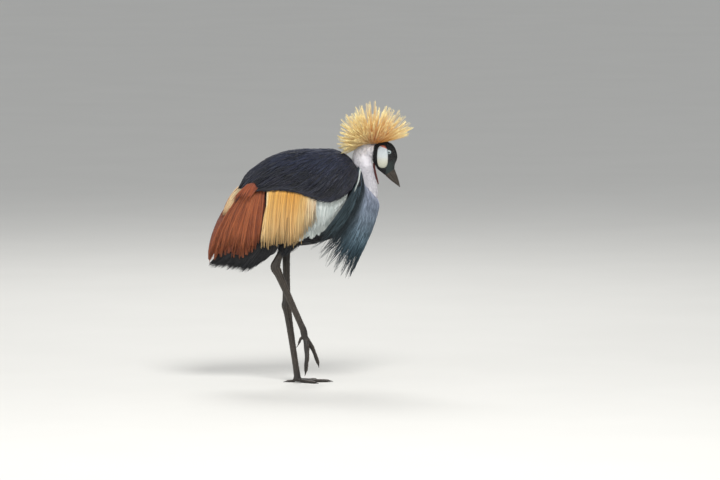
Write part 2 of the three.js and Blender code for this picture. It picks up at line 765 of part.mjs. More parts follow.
const BIB_ROOT = { to: 132, bottom: 496, top: 546, layer: [-5.8, 2.6] };
const bibFace = (raise) => (u, v) => onBib(BIB_ROOT.to * u, lerp(BIB_ROOT.bottom, BIB_ROOT.top, v), raise);
const bibPlate = plate(7, 2, bibFace(BIB_ROOT.layer[1]), bibFace(BIB_ROOT.layer[0]));
const bibLocks = row({
  sheet: onBib,
  count: 11,
  lift: 2.6,
  shorten: 0.12,
  roots: line([[0, 126, 512], [1, 9, 512]]),
  tips: line([
    [0, 158, 366], [0.2, 124, 334], [0.4, 92, 316], [0.55, 66, 297],
    [0.7, 42, 312], [0.85, 24, 372], [1, 10, 450],
  ]),
  bow: () => [-4, 0],
  half: 11.5,
  height: -4.2,
  shape: lockShape,
  steps: 4,
  wave: 2,
});
addPair("hackles", "slate", cutBy(
  union([bibPlate, ...bibLocks]).trimByPlane([0, 1, 0], GAP / 2),
  torsoRoom,
  neckRoom,
));

// Each leg: the feathered thigh, the bare shank, the tarsus, then the foot, parted at the heel.
function legNodes({ name, knee, heel, ankle, thigh }) {
  const shankWay = heel.clone().sub(knee).normalize();
  const tarsusWay = ankle.clone().sub(heel).normalize();
  const along = (from, way, distance) => from.clone().addScaledVector(way, distance);
  const shankLength = heel.distanceTo(knee);
  const tarsusLength = ankle.distanceTo(heel);
  addNode(`thigh_${name}`, "grey", cutBy(tube([
    { at: thigh, wide: 20, deep: 34 },
    { at: thigh.clone().lerp(knee, 0.4), wide: 20, deep: 31 },
    { at: thigh.clone().lerp(knee, 0.75), wide: 16, deep: 20 },
    { at: along(knee, shankWay, 4), wide: 9, deep: 11 },
  ], 12).trimByPlane([-shankWay.x, -shankWay.y, -shankWay.z], GAP - shankWay.dot(knee)), torsoRoom));
  addNode(`shank_${name}`, "leg", tube([
    { at: knee, wide: 8, deep: 9.5 },
    { at: along(knee, shankWay, shankLength * 0.35), wide: 6.5, deep: 7.5 },
    { at: along(knee, shankWay, shankLength - 24), wide: 6.8, deep: 7.8 },
    { at: along(knee, shankWay, shankLength - 10), wide: 8.5, deep: 11.5 },
    { at: along(knee, shankWay, shankLength + 6), wide: 9, deep: 13 },
  ], 10).trimByPlane(...heelCut(heel, shankWay, tarsusWay, -1)));
  addNode(`tarsus_${name}`, "leg", tube([
    { at: along(heel, tarsusWay, -6), wide: 9, deep: 13 },
    { at: along(heel, tarsusWay, 12), wide: 8, deep: 11 },
    { at: along(heel, tarsusWay, 28), wide: 5.8, deep: 7.4 },
    { at: along(heel, tarsusWay, tarsusLength * 0.5), wide: 5, deep: 6.4 },
    { at: along(heel, tarsusWay, tarsusLength - 20), wide: 5.6, deep: 6.8 },
    { at: along(heel, tarsusWay, tarsusLength - GAP), wide: 8.2, deep: 9 },
  ], 10).trimByPlane(...heelCut(heel, shankWay, tarsusWay, 1)));
}

// The plane that halves the heel's bend, pushed half a gap to the side that is kept: normal, offset.
function heelCut(heel, shankWay, tarsusWay, sign) {
  const way = shankWay.clone().add(tarsusWay).normalize().multiplyScalar(sign);
  return [[way.x, way.y, way.z], way.dot(heel) + GAP / 2];
}

const STANDING = {
  name: "left",
  thigh: V(-8, 33, 440),
  knee: V(-31, 28, 384),
  heel: V(-30, 13, 220),
  ankle: V(0, 0, 21),
};
const RAISED = {
  name: "right",
  thigh: V(-6, -34, 440),
  knee: V(-37, -37, 384),
  heel: V(-64, -40, 332),
  ankle: V(19, -36, 152),
};
legNodes(STANDING);
legNodes(RAISED);

const CLAW_LENGTH = 13;
const TOE_STEPS = 5;

// A toe from the ball of the foot to its end, thicker at its joints.
function toe(way, thick) {
  const curve = new THREE.CatmullRomCurve3(way);
  return tube(Array.from({ length: TOE_STEPS + 1 }, (_, i) => {
    const t = i / TOE_STEPS;
    const joint = i % 2 ? 0.9 : 1.06;
    const radius = thick * lerp(1, 0.68, t) * joint;
    return { at: curve.getPoint(t), wide: radius, deep: radius * 0.94 };
  }), 6);
}

function claw(way, thick, drop) {
  const end = way[way.length - 1];
  const heading = end.clone().sub(way[way.length - 2]).normalize();
  const point = (t) => end.clone()
    .addScaledVector(heading, GAP + CLAW_LENGTH * t)
    .add(drop.clone().multiplyScalar(t * t));
  return tube([0, 0.35, 0.7, 1].map((t) => {
    const radius = lerp(thick * 0.5, 0.6, t);
    return { at: point(t), wide: radius * 0.85, deep: radius };
  }), 5);
}

// A foot whose pad is cut square to its tarsus, with every claw a node of its own, kept above the floor.
function footNodes({ name, heel, ankle }, pad, toes, drop) {
  const onFloor = (solid) => solid.trimByPlane([0, 0, 1], 0);
  const way = ankle.clone().sub(heel).normalize();
  const sole = pad.trimByPlane([way.x, way.y, way.z], way.dot(ankle));
  addNode(`foot_${name}`, "leg", onFloor(union([sole, ...toes.map((one) => toe(one.way, one.thick))])));
  toes.forEach(({ label, way: path, thick }) => {
    addNode(`claw_${name}_${label}`, "horn", onFloor(claw(path, thick, drop)));
  });
}

// The standing foot lies on the floor. Each toe: label, angle from forward, length, thickness.
const STANDING_TOES = [
  ["middle", 3, 90, 6.4],
  ["inner", -37, 64, 6],
  ["outer", 41, 70, 6],
  ["hind", 173, 27, 4.8],
];
const standingToes = STANDING_TOES.map(([label, degrees, length, thick]) => {
  const angle = degToRad(degrees);
  const heading = V(Math.cos(angle), Math.sin(angle), 0);
  const point = (share, height) => heading.clone().multiplyScalar(length * share).setZ(height);
  const way = [point(0.04, 8), point(0.35, thick * 0.85), point(0.7, thick * 0.66), point(1, thick * 0.52)];
  return { label, thick, way };
});
footNodes(STANDING, union([
  ball(V(1, 0, 12), [9.5, 9, 12], 0, 10),
  ball(V(0, 0, 3), [13, 11, 6], 0, 10),
]), standingToes, V(0, 0, -1.2));

// The raised foot hangs with its toes half closed: label, tip, thickness.
const RAISED_BALL = V(22, -36, 139);
const RAISED_TOES = [
  ["middle", V(25, -36, 36), 6.8],
  ["inner", V(60, -18, 56), 6.4],
  ["outer", V(29, -58, 64), 6.4],
  ["hind", V(6, -35, 116), 5],
];
const raisedToes = RAISED_TOES.map(([label, tip, thick]) => {
  const middle = RAISED_BALL.clone().lerp(tip, 0.5).add(V(label === "hind" ? -3 : 4, 0, 0));
  return { label, thick, way: [RAISED_BALL.clone(), middle, tip] };
});
const raisedPad = ball(RAISED_BALL.clone().add(V(-1, 0, 2)), [9.5, 8.5, 14], degToRad(-20), 10);
footNodes(RAISED, raisedPad, raisedToes, V(-2, 0, -1));

export default crane;
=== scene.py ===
# %% [markdown]
# # A grey crowned crane
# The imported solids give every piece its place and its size. This lesson dresses them: one skin over
# the flesh, and over the skin the feathers of each tract, laid along the way that they grow.
# All sizes below are millimetres, and one factor turns them into Blender's metres.

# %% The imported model
import math
import bpy
import bmesh
import numpy as np
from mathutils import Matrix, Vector


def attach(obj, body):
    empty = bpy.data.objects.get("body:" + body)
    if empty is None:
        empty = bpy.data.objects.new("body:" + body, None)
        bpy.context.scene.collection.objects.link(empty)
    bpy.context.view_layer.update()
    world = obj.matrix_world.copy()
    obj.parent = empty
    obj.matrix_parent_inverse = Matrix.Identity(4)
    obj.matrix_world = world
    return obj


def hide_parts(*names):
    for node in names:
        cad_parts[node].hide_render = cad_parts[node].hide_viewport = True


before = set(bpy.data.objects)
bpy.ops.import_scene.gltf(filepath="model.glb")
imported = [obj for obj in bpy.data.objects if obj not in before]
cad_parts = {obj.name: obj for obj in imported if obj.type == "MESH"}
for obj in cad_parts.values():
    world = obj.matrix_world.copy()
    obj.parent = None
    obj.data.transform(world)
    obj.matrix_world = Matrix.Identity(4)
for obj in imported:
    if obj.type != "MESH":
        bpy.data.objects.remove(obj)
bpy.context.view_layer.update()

MM = 0.001
SEED = 11
chance = np.random.default_rng(SEED)
print("solid nodes:", len(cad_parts))

# %% [markdown]
# ## Small tools
# A form such as the body is a table of a few measured rows with a smooth curve through them. The curve
# must not overshoot between rows, or a breast would bulge where nothing was measured. So its slope at
# a row is the harmonic mean of the slopes beside it, which keeps near the gentler one, and it is level
# where they change sign. Every colour is written as it looks on a screen, and one function turns it
# into the linear values that light is computed in.

# %% Curves and colours
def through(rows, column=1):
    """A smooth curve through one column of the rows, against their first numbers."""
    xs = np.array([row[0] for row in rows], float)
    ys = np.array([row[column] for row in rows], float)
    slope = np.diff(ys) / np.diff(xs)
    tangent = np.zeros(len(xs))
    tangent[0], tangent[-1] = slope[0], slope[-1]
    for i in range(1, len(xs) - 1):
        if slope[i - 1] * slope[i] > 0:
            tangent[i] = 2 / (1 / slope[i - 1] + 1 / slope[i])

    def curve(x):
        x = np.clip(np.asarray(x, float), xs[0], xs[-1])
        i = np.clip(np.searchsorted(xs, x, side="right") - 1, 0, len(xs) - 2)
        h = xs[i + 1] - xs[i]
        t = (x - xs[i]) / h
        return (ys[i] * (2 * t**3 - 3 * t**2 + 1) + ys[i + 1] * (3 * t**2 - 2 * t**3)
                + h * tangent[i] * (t**3 - 2 * t**2 + t) + h * tangent[i + 1] * (t**3 - t**2))
    return curve


def mix(a, b, t):
    return a + (b - a) * t


def eased(x, low, high):
    t = np.clip((x - low) / (high - low), 0, 1)
    return t * t * (3 - 2 * t)


def linear(hex_colour):
    parts = [int(hex_colour[i:i + 2], 16) / 255 for i in (1, 3, 5)]
    return tuple(p / 12.92 if p <= 0.04045 else ((p + 0.055) / 1.055) ** 2.4 for p in parts) + (1.0,)


def paint(hex_colour):
    return np.array(linear(hex_colour)[:3])


def ramp(stops):
    """A colour along a number: stops of (number, hex)."""
    channels = [through([(at, linear(colour)[k]) for at, colour in stops]) for k in range(3)]
    return lambda x: np.stack([channel(x) for channel in channels], axis=-1)


print("mid grey #808080 in linear light:", round(linear("#808080")[0], 3))

# %% [markdown]
# ## Nodes and objects
# Materials and planted coats are trees of nodes, and one function adds a node with its settings and
# links. The others take up what every piece needs: a place in the scene, smooth shading, and a way to
# turn what modifiers compute into plain mesh, which is all that an exported model can hold.

# %% Nodes and objects
def add(tree, kind, inputs=None, **settings):
    """Adds a node. Each input is a value, or the output of another node, which is then linked."""
    node = tree.nodes.new(kind)
    for name, value in settings.items():
        setattr(node, name, value)
    for name, value in (inputs or {}).items():
        socket = node.inputs[name]
        if isinstance(value, bpy.types.NodeSocket):
            tree.links.new(value, socket)
        else:
            socket.default_value = value
    return node


def new_material(name):
    material = bpy.data.materials.new(name)
    material.use_nodes = True
    return material, material.node_tree, material.node_tree.nodes["Principled BSDF"]


def placed(name, data):
    thing = bpy.data.objects.new(name, data)
    bpy.context.scene.collection.objects.link(thing)
    return thing


def smoothed(mesh):
    mesh.polygons.foreach_set("use_smooth", np.ones(len(mesh.polygons), bool))


def applied(piece):
    """Gives a piece what its modifiers make of it, as plain mesh, and takes the modifiers off."""
    result = bpy.data.meshes.new_from_object(piece.evaluated_get(bpy.context.evaluated_depsgraph_get()))
    piece.modifiers.clear()
    piece.data = result
    return result


# %% [markdown]
# ## Finishes
# A feather is keratin, like a fingernail, grown as fine barbs side by side. Each barb catches the light
# along its length, so a vane shows faint slanting lines and a soft sheen instead of a hard highlight.
# The colour of one vane runs from its downy root to its tip and its edge. No two feathers have
# worn or bleached alike, so every vane carries a number of its own that shifts its tone.

# %% The finish of a feather
# Real barbs stand about 0.3 mm apart, too fine to show, so each line stands for several of them.
BARB_RELIEF = 0.5 * MM
# Patches of better and worse worn feathers are about as wide as three feathers.
MOTTLE = 45 * MM
FEATHER_SPECULAR = 0.35


def feather_finish(name, root, tip, edge, shade, rough=0.62, sheen=0.2, barbs=26, relief=0.35,
                   marked=False, tip_share=1.0, edge_share=1.0, uneven=0.7):
    """Colours from root to tip and edge of a vane. Where marked, the mesh's own colour is the root's."""
    material, tree, shader = new_material(name)
    vane = add(tree, "ShaderNodeUVMap", uv_map="Vane").outputs[0]
    uv = add(tree, "ShaderNodeSeparateXYZ", {"Vector": vane})
    across, along = uv.outputs["X"], uv.outputs["Y"]
    own = add(tree, "ShaderNodeAttribute", attribute_name="Tint").outputs["Fac"]
    middle = add(tree, "ShaderNodeMath", {0: across, 1: 0.5}, operation="SUBTRACT")
    off = add(tree, "ShaderNodeMath", {0: middle.outputs[0]}, operation="ABSOLUTE").outputs[0]
    start = linear(root)
    if marked:
        start = add(tree, "ShaderNodeAttribute", attribute_name="Marking").outputs["Color"]
    reach = add(tree, "ShaderNodeMapRange", {"Value": along, "From Min": 0.15, "To Max": tip_share})
    colour = add(tree, "ShaderNodeMix", {"Factor": reach.outputs[0], 6: start, 7: linear(tip)},
                 data_type="RGBA")
    rim = add(tree, "ShaderNodeMapRange",
              {"Value": off, "From Min": 0.2, "From Max": 0.5, "To Max": edge_share})
    colour = add(tree, "ShaderNodeMix", {"Factor": rim.outputs[0], 6: colour.outputs[2], 7: linear(edge)},
                 data_type="RGBA")
    slant = add(tree, "ShaderNodeMath", {0: off, 1: 0.7, 2: along}, operation="MULTIPLY_ADD")
    lines = add(tree, "ShaderNodeMath", {0: slant.outputs[0], 1: barbs * 2 * math.pi}, operation="MULTIPLY")
    lines = add(tree, "ShaderNodeMath", {0: lines.outputs[0]}, operation="SINE")
    where = add(tree, "ShaderNodeTexCoord").outputs["Object"]
    cloud = add(tree, "ShaderNodeTexNoise", {"Vector": where, "Scale": 1 / MOTTLE, "Detail": 3.0})
    tone = add(tree, "ShaderNodeMath", {0: cloud.outputs["Fac"], 1: own}, operation="ADD")
    tone = add(tree, "ShaderNodeMapRange",
               {"Value": tone.outputs[0], "From Min": 0.6, "From Max": 1.4, "To Max": uneven})
    colour = add(tree, "ShaderNodeMix", {"Factor": tone.outputs[0], 6: colour.outputs[2], 7: linear(shade)},
                 data_type="RGBA")
    bump = add(tree, "ShaderNodeBump",
               {"Strength": relief, "Distance": BARB_RELIEF, "Height": lines.outputs[0]})
    tree.links.new(colour.outputs[2], shader.inputs["Base Color"])
    tree.links.new(bump.outputs[0], shader.inputs["Normal"])
    shader.inputs["Roughness"].default_value = rough
    shader.inputs["Sheen Weight"].default_value = sheen
    shader.inputs["Sheen Roughness"].default_value = 0.5
    shader.inputs["Specular IOR Level"].default_value = FEATHER_SPECULAR
    return material


# %% [markdown]
# The tracts differ in how well the barbs hook together and in how much pigment they carry. Hooked
# vanes are smooth and show a low gloss, and loose ones scatter the light and look soft.

# %% Feather finishes
# Close-hooked keratin vanes with a low sheen along each feather; the root colour painted on them is lighter
# blue towards the top of the back, a painted highlight.
MANTLE_SLATE = feather_finish("mantle_feather_keratin", "#080b13", "#1d2438", "#55566c", "#040509",
                              rough=0.38, sheen=0.1, marked=True, tip_share=0.45, edge_share=0.6,
                              uneven=0.85)
# Loose, unhooked barbs: silky threads that pale towards their worn tips.
GOLD = feather_finish("gold_plume_keratin", "#dca040", "#fdeab8", "#f3cb78", "#b8792a", rough=0.6, barbs=8,
                      marked=True, tip_share=0.55, edge_share=0.25, uneven=0.5)
# Keratin without pigment, full of tiny air cells that scatter all colours alike: a soft matt white.
WHITE = feather_finish("white_covert_keratin", "#d9dedb", "#e6eae6", "#ccd6d2", "#a9b9b6", rough=0.65,
                       uneven=0.55)
# Loose barbs with red-brown pigment, bleached towards orange at the tips that the sun reaches.
CHESTNUT = feather_finish("chestnut_plume_keratin", "#7a3216", "#cf7440", "#b3562b", "#521e0d", rough=0.6,
                          sheen=0.12, barbs=8, marked=True, tip_share=0.35, edge_share=0.25, uneven=0.65)
# Stiff quills full of dark pigment: the smoothest and darkest of the feathers.
BLACK = feather_finish("black_quill_keratin", "#07070a", "#0d0d13", "#181a24", "#040406", rough=0.4,
                       sheen=0.1)
# Soft body feathers without hooks scatter light, so they look matt, like velvet.
NECK_DOWN = feather_finish("neck_feather_keratin", "#e4e0e6", "#f8f6f8", "#e2dee4", "#cbc7d1", rough=0.75,
                           sheen=0.3, barbs=10, relief=0.2, marked=True, tip_share=0.4, edge_share=0.1,
                           uneven=0.3)
# Long narrow plumes with dark middles and pale frayed edges, so that each stands out from the next.
HACKLE = feather_finish("hackle_keratin", "#16262c", "#6f8894", "#7b929e", "#0a1218", rough=0.68,
                        sheen=0.05, barbs=14, relief=0.25, marked=True, tip_share=0.06, edge_share=0.3,
                        uneven=0.45)
# Twisted solid spines of straw-coloured keratin, lighter where they thin out.
STRAW = feather_finish("crest_bristle_keratin", "#dd9a3c", "#fff0b0", "#f8dc8e", "#d8923a", rough=0.5,
                       barbs=4, relief=0.1, marked=True, edge_share=0.2, uneven=0.3)
# The shortest and densest feathers: light falls in between them and hardly comes back.
VELVET = feather_finish("head_velvet_keratin", "#040406", "#0b0b10", "#0e0e15", "#020203", rough=0.7,
                        sheen=0.15, barbs=6, relief=0.1)
# Loose dark body feathers, matt, with a paler worn rim.
BODY_DOWN = feather_finish("body_feather_keratin", "#0d1016", "#181c25", "#232835", "#07090d", rough=0.65,
                           sheen=0.15, barbs=12)
print("feather finishes:", len(bpy.data.materials))

# %% [markdown]
# ## The body's surface
# The same few rows that shape the solids give the surface that feathers grow on. A point on it is named
# by how far along the bird it lies, how far it is turned from the top, and how high it is raised, so
# a feather can be drawn as a line on the body and lifted just as far as the coat is deep there.

# %% The body as a surface
TORSO = [
    (-166, 545, 482, 20), (-150, 572, 458, 38), (-120, 604, 432, 50), (-80, 631, 410, 60),
    (-23, 651, 394, 67), (34, 656, 394, 71), (91, 656, 408, 71), (134, 643, 422, 66),
    (164, 615, 438, 56), (186, 576, 456, 44), (204, 542, 476, 28), (213, 524, 492, 14),
]
torso_top, torso_bottom, torso_half = (through(TORSO, k) for k in (1, 2, 3))
# Behind the torso the folded wings hang down from the rump, and their half width has rows of its own.
drape_half = through([(-262, 30), (-200, 42), (-166, 48), (-150, 50), (-120, 54), (-80, 60)])
TORSO_FROM, DRAPE_TO = -120, -80


def stack(x, y, z):
    return np.stack(np.broadcast_arrays(x, y, z), axis=-1).astype(float)


def middle_and_tall(x):
    return (torso_top(x) + torso_bottom(x)) / 2, (torso_top(x) - torso_bottom(x)) / 2


def on_body(x, turn, up):
    """The bare body: how far along, how far turned from the top, how far raised."""
    middle, tall = middle_and_tall(x)
    return stack(x, (torso_half(x) + up) * np.sin(turn), middle + (tall + up) * np.cos(turn))


def wing_half(x):
    return np.maximum(np.where(x < DRAPE_TO, drape_half(x), 0), np.where(x > TORSO_FROM, torso_half(x), 0))


def on_back(x, turn, up):
    """The same round the folded wings."""
    middle, tall = middle_and_tall(x)
    return stack(x, (wing_half(x) + up) * np.sin(turn), middle + (tall + up) * np.cos(turn))


def on_flank(x, z, up):
    """The wing's side as the camera sees it: how far along, how high, how far raised."""
    middle, tall = middle_and_tall(np.maximum(x, TORSO_FROM))
    level = (z - middle) / (tall + up)
    half = wing_half(x) + up
    above = half * np.sqrt(np.clip(1 - level**2, 0.02, 1))
    return stack(x, np.where(level > 0, above, half * (1 - 0.06 * level**2)), z)


print("torso:", TORSO[-1][0] - TORSO[0][0], "mm long")

# %% [markdown]
# ## One feather, many times
# A feather could be a flat card with a picture of barbs, but a card has no edge and shows nothing from
# the side. Here each one is a thin closed blade: a ring of three, four or six points carried along a
# curve on the body. Thousands are computed at once as arrays, which takes a fraction of a second,
# and every blade knows where it is rooted, how far along it a point lies, and its own tone.

# %% The blade builder
# Each point of a section is a share of the half width across, one upwards, and millimetres upwards.
STRAND = [(-1, 0, 0), (0, 0.5, 0.2), (1, 0, 0)]
BLADE = [(-1, -0.1, 0), (0, 0.1, 0.3), (1, -0.1, 0), (0, -0.06, -0.3)]
BROAD = [(-1, -0.16, 0), (-0.5, -0.03, 0.2), (0, 0.06, 0.4), (0.5, -0.03, 0.2), (1, -0.16, 0),
         (0, -0.1, -0.4)]
# In the map that finishes are baked on, a blade takes this share, and a full turn stays clear of the
# map's edges.
PATCH = 0.003
CHART_TURN = 6.6
BODY_CHART_FROM, BODY_CHART_LENGTH = -280, 620


def body_chart(points):
    middle, _ = middle_and_tall(points[:, 0])
    turn = np.arctan2(points[:, 1], points[:, 2] - middle)
    return np.stack([(points[:, 0] - BODY_CHART_FROM) / BODY_CHART_LENGTH, 0.5 + turn / CHART_TURN], axis=1)


def unit(vectors):
    return vectors / (np.linalg.norm(vectors, axis=-1, keepdims=True) + 1e-12)


def blade_arrays(points, outward, half, section):
    """The places of all blades' points, and how far across and along a blade each one lies."""
    n, rings, _ = points.shape
    k = len(section)
    along = unit(np.gradient(points, axis=1))
    side = unit(np.cross(along, outward))
    up = np.cross(side, along)
    shape = np.array(section, float)
    places = (points[:, :, None] + side[:, :, None] * (shape[:, 0] * half[..., None])[..., None]
              + up[:, :, None] * (shape[:, 1] * half[..., None] + shape[:, 2])[..., None])
    across = np.broadcast_to(shape[:, 0] * 0.5 + 0.5, (n, rings, k))
    share = np.broadcast_to(np.linspace(0, 1, rings)[None, :, None], (n, rings, k))
    return places.reshape(-1, 3), np.stack([across, share], axis=-1).reshape(-1, 2)


def blade_faces(n, rings, k):
    """The faces of n blades of so many rings with k points each: their sides, and their two ends."""
    base = np.arange(n)[:, None, None] * rings * k
    ring = np.arange(rings - 1)[None, :, None] * k
    j = np.arange(k)[None, None, :]
    a, b = base + ring + j, base + ring + (j + 1) % k
    quads = np.stack([a, b, b + k, a + k], axis=-1).reshape(-1, 4)
    end = base[:, 0] + np.arange(k)[None, :] + (rings - 1) * k
    foot = end[:, ::-1] - (rings - 1) * k
    return quads, np.concatenate([foot, end])


print("points a ring:", len(STRAND), len(BLADE), len(BROAD))

# %% [markdown]
# Blender takes a mesh's points and faces as arrays, without a loop over them. A coat joins many blades
# into one piece. It carries a map of each vane, a map for baking the finish, and one tone a blade.

# %% From arrays to a piece
def piece_of(name, points, face_lists, material, uv_maps=None, values=None, colours=None):
    """One object from arrays. Maps, values and colours are given point by point."""
    mesh = bpy.data.meshes.new(name)
    loops = np.concatenate([faces.reshape(-1) for faces in face_lists])
    totals = np.concatenate([np.full(len(faces), faces.shape[1]) for faces in face_lists])
    mesh.vertices.add(len(points))
    mesh.vertices.foreach_set("co", (points * MM).astype(np.float32).reshape(-1))
    mesh.loops.add(len(loops))
    mesh.loops.foreach_set("vertex_index", loops.astype(np.int32))
    mesh.polygons.add(len(totals))
    mesh.polygons.foreach_set("loop_start", (np.cumsum(totals) - totals).astype(np.int32))
    smoothed(mesh)
    mesh.update(calc_edges=True)
    for label, uv in (uv_maps or {}).items():
        layer = mesh.uv_layers.new(name=label)
        layer.uv.foreach_set("vector", uv[loops].astype(np.float32).reshape(-1))
    for label, value in (values or {}).items():
        mesh.attributes.new(label, "FLOAT", "POINT").data.foreach_set("value", value.astype(np.float32))
    if colours is not None:
        set_marking(mesh, colours)
    mesh.materials.append(material)
    mesh.validate()
    return placed(name, mesh)


def set_marking(mesh, colours):
    rgba = np.concatenate([colours.reshape(-1, 3), np.ones((colours.size // 3, 1))], axis=1)
    mesh.attributes.new("Marking", "FLOAT_COLOR", "POINT").data.foreach_set(
        "color", rgba.astype(np.float32).reshape(-1))


def triangles(piece):
    return sum(len(p.vertices) - 2 for p in piece.data.polygons)


def coat(name, batches, material, chart=body_chart):
    """Joins batches of blades into one piece: points, outward, half widths, section, colours or None."""
    places, vane_uv, bake_uv, tints, colours, faces, count = [], [], [], [], [], {}, 0
    for points, outward, half, section, colour in batches:
        n, rings, _ = points.shape
        k = len(section)
        place, uv = blade_arrays(points, outward, half, section)
        places.append(place)
        vane_uv.append(uv)
        bake_uv.append(np.repeat(chart(points[:, 0]), rings * k, axis=0) + PATCH * (uv - 0.5))
        tints.append(np.repeat(chance.random(n), rings * k))
        if colour is not None:
            full = np.broadcast_to(colour, (n, rings, 3))
            colours.append(np.repeat(full[:, :, None], k, axis=2).reshape(-1, 3))
        for group in blade_faces(n, rings, k):
            faces.setdefault(group.shape[1], []).append(group + count)
        count += n * rings * k
    piece = piece_of(name, np.concatenate(places), [np.concatenate(group) for group in faces.values()],
                     material, {"Vane": np.concatenate(vane_uv), "OFBake": np.concatenate(bake_uv)},
                     {"Tint": np.concatenate(tints)}, np.concatenate(colours) if colours else None)
    print(f"{name}: {triangles(piece)} triangles")
    return piece


# %% [markdown]
# Feathers are laid on a sheet, which is any function that gives the place for two numbers and a height.
# What is laid on one side of the bird is mirrored for the other, with its sections turned round.

# %% Laying on a sheet
def lay(sheet, a, b, height):
    """Points on a sheet, and which way is outwards there."""
    points = sheet(a, b, height)
    return points, unit(sheet(a, b, height + 1.0) - points)


def both_sides(batches):
    flip = np.array([1.0, -1.0, 1.0])
    others = [(p * flip, o * flip, h, [(-a, c, t) for a, c, t in s][::-1], colour)
              for p, o, h, s, colour in batches]
    return batches + others


# %% [markdown]
# How wide a feather is along its length tells its kind: a vane keeps its width and ends round, a lance
# narrows to a point, and a strand is an even thread that thins out.

# %% The widths of a feather
def vane_shape(t):
    rounded = np.sqrt(np.clip(1 - np.clip((t - 0.72) / 0.3, 0, 1) ** 2, 0.01, 1))
    return np.minimum(1, 0.35 + 1.3 * t) * rounded


def lance_shape(t):
    return np.minimum(1, 0.4 + 1.8 * t) * np.clip(1 - t**2.4, 0.05, 1)


def strand_shape(t):
    return np.minimum(1, 0.6 + 2 * t) * (1 - 0.85 * t**1.6)


print("widths half way:", [round(float(shape(0.5)), 2) for shape in (vane_shape, lance_shape, strand_shape)])

# %% [markdown]
# ## Rows that fan
# The feathers of a wing grow side by side from one line of roots and end on another line, and between
# the two each one bends. Naming the two lines and the bend gives every feather in the row, however
# many there are, so broad vanes and a thousand fine plumes come from the same two lines and one bend.
# Loose plumes cling together in small locks, so each is pulled towards the nearest lock as it falls.

# %% Feathers between two lines
def line(rows):
    """A line on the wing's side, from rows of its share, x and z."""
    x, z = through(rows, 1), through(rows, 2)
    return lambda u: (x(u), z(u))


def column(value):
    return np.asarray(value, float).reshape(-1, 1)


def row(sheet, u, roots, tips, bow, half, height, section, shape, rings=8, length=1.0, wave=0.0, spread=0.0,
        colour=None):
    """Blades at shares u of a row. The numbers after the lines are one for all or one a blade."""
    u, length, height, wave = column(u), column(length), column(height), column(wave)
    t = np.linspace(0, 1, rings)[None, :]
    (rx, rz), (tx, tz), (bx, bz) = roots(u), tips(np.clip(u + column(spread), 0, 1)), bow(u)
    mx, mz = (rx + tx) / 2 + bx, (rz + tz) / 2 + bz
    s = t * length
    x = (1 - s) ** 2 * rx + 2 * s * (1 - s) * mx + s * s * tx + wave * np.sin(3 * s + 40 * u)
    z = (1 - s) ** 2 * rz + 2 * s * (1 - s) * mz + s * s * tz
    points, outward = lay(sheet, x, z, np.broadcast_to(height, x.shape))
    return points, outward, np.broadcast_to(column(half) * shape(t), x.shape), section, colour


def scattered(count, low=0.0, high=1.0):
    """Evenly spread shares with a little disorder, as feathers grow."""
    return low + (high - low) * (np.arange(count) + chance.random(count)) / count


def into_locks(u, locks, loose=0.35, pull=0.8):
    """How far each share moves towards its lock, and the number of that lock."""
    lock = np.round(u * locks + loose * chance.normal(size=u.shape))
    return (lock / locks - u) * pull, lock.astype(int) - int(lock.min())


def fixed(x, z):
    return lambda u: (x + 0 * u, z + 0 * u)


def toned(low, high, share):
    return mix(paint(low), paint(high), share[:, None, None])


# %% [markdown]
# ## Chestnut plumes
# The secondaries hang over the rear of the folded wing like a rusty curtain. Broad vanes lie below, so
# that no gap shows the body, and they are painted darker than the threads, a painted shade in the gaps
# between them. Two thousand loose threads in locks make the surface that the eye sees. A pale gold
# streak runs along the upper edge behind, and a tuft shows through the mantle.

# %% Chestnut plumes
SECONDARY_ROOTS = line([(0, -146, 560), (1, -92, 566)])
SECONDARY_TIPS = line([(0, -250, 354), (0.12, -240, 358), (0.3, -210, 368), (0.5, -180, 364),
                       (0.68, -152, 361), (0.85, -126, 382), (1, -102, 414)])
STREAK_ROOTS, STREAK_TIPS = line([(0, -168, 556), (1, -146, 560)]), line([(0, -212, 484), (1, -196, 488)])
TUFT_ROOTS = line([(0, -142, 572), (0.5, -124, 576), (1, -112, 562)])
TUFT_TIPS = line([(0, -190, 520), (1, -134, 524)])
MOST_LOCKS = 64


def secondary_bow(u):
    return -34 * (1 - u), 18 * (1 - u)


u = np.linspace(0.012, 1, 19)
order = np.arange(19) % 3
# The under vanes are painted darker than the threads: a painted shade in the gaps between them.
under = row(on_flank, u, SECONDARY_ROOTS, SECONDARY_TIPS, secondary_bow, half=10, height=6.8 + 1.4 * order,
            section=BROAD, shape=vane_shape, rings=12, length=1.0 - 0.03 * order, colour=paint("#5a2010"))
count = 2000
u = scattered(count)
pull, lock = into_locks(u, 27, 0.3, 0.8)
lock_length, lock_tone = chance.random(MOST_LOCKS)[lock], chance.random(MOST_LOCKS)[lock]
threads = row(on_flank, u, SECONDARY_ROOTS, SECONDARY_TIPS, secondary_bow, half=1.2,
              height=9 + 6 * chance.random(count), section=STRAND, shape=strand_shape, rings=7,
              length=0.72 + 0.2 * lock_length + 0.12 * chance.random(count), wave=3.0, spread=pull,
              colour=toned("#742c12", "#d07a48", 0.6 * chance.random(count) ** 1.4 + 0.4 * lock_tone))
u = scattered(130)
streak = row(on_flank, u, STREAK_ROOTS, STREAK_TIPS, fixed(-9, 7), half=1.4, height=15, section=STRAND,
             shape=strand_shape, rings=6, length=0.75 + 0.3 * chance.random(130), colour=paint("#f6dfae"))
u = scattered(60)
tuft = row(on_flank, u, TUFT_ROOTS, TUFT_TIPS, fixed(-3, 3), half=1.6, height=24, section=STRAND,
           shape=lance_shape, rings=6, length=0.6 + 0.4 * chance.random(60), wave=1.5,
           colour=toned("#7a3216", "#b8623a", chance.random(60)))
print("chestnut threads on a wing:", count)

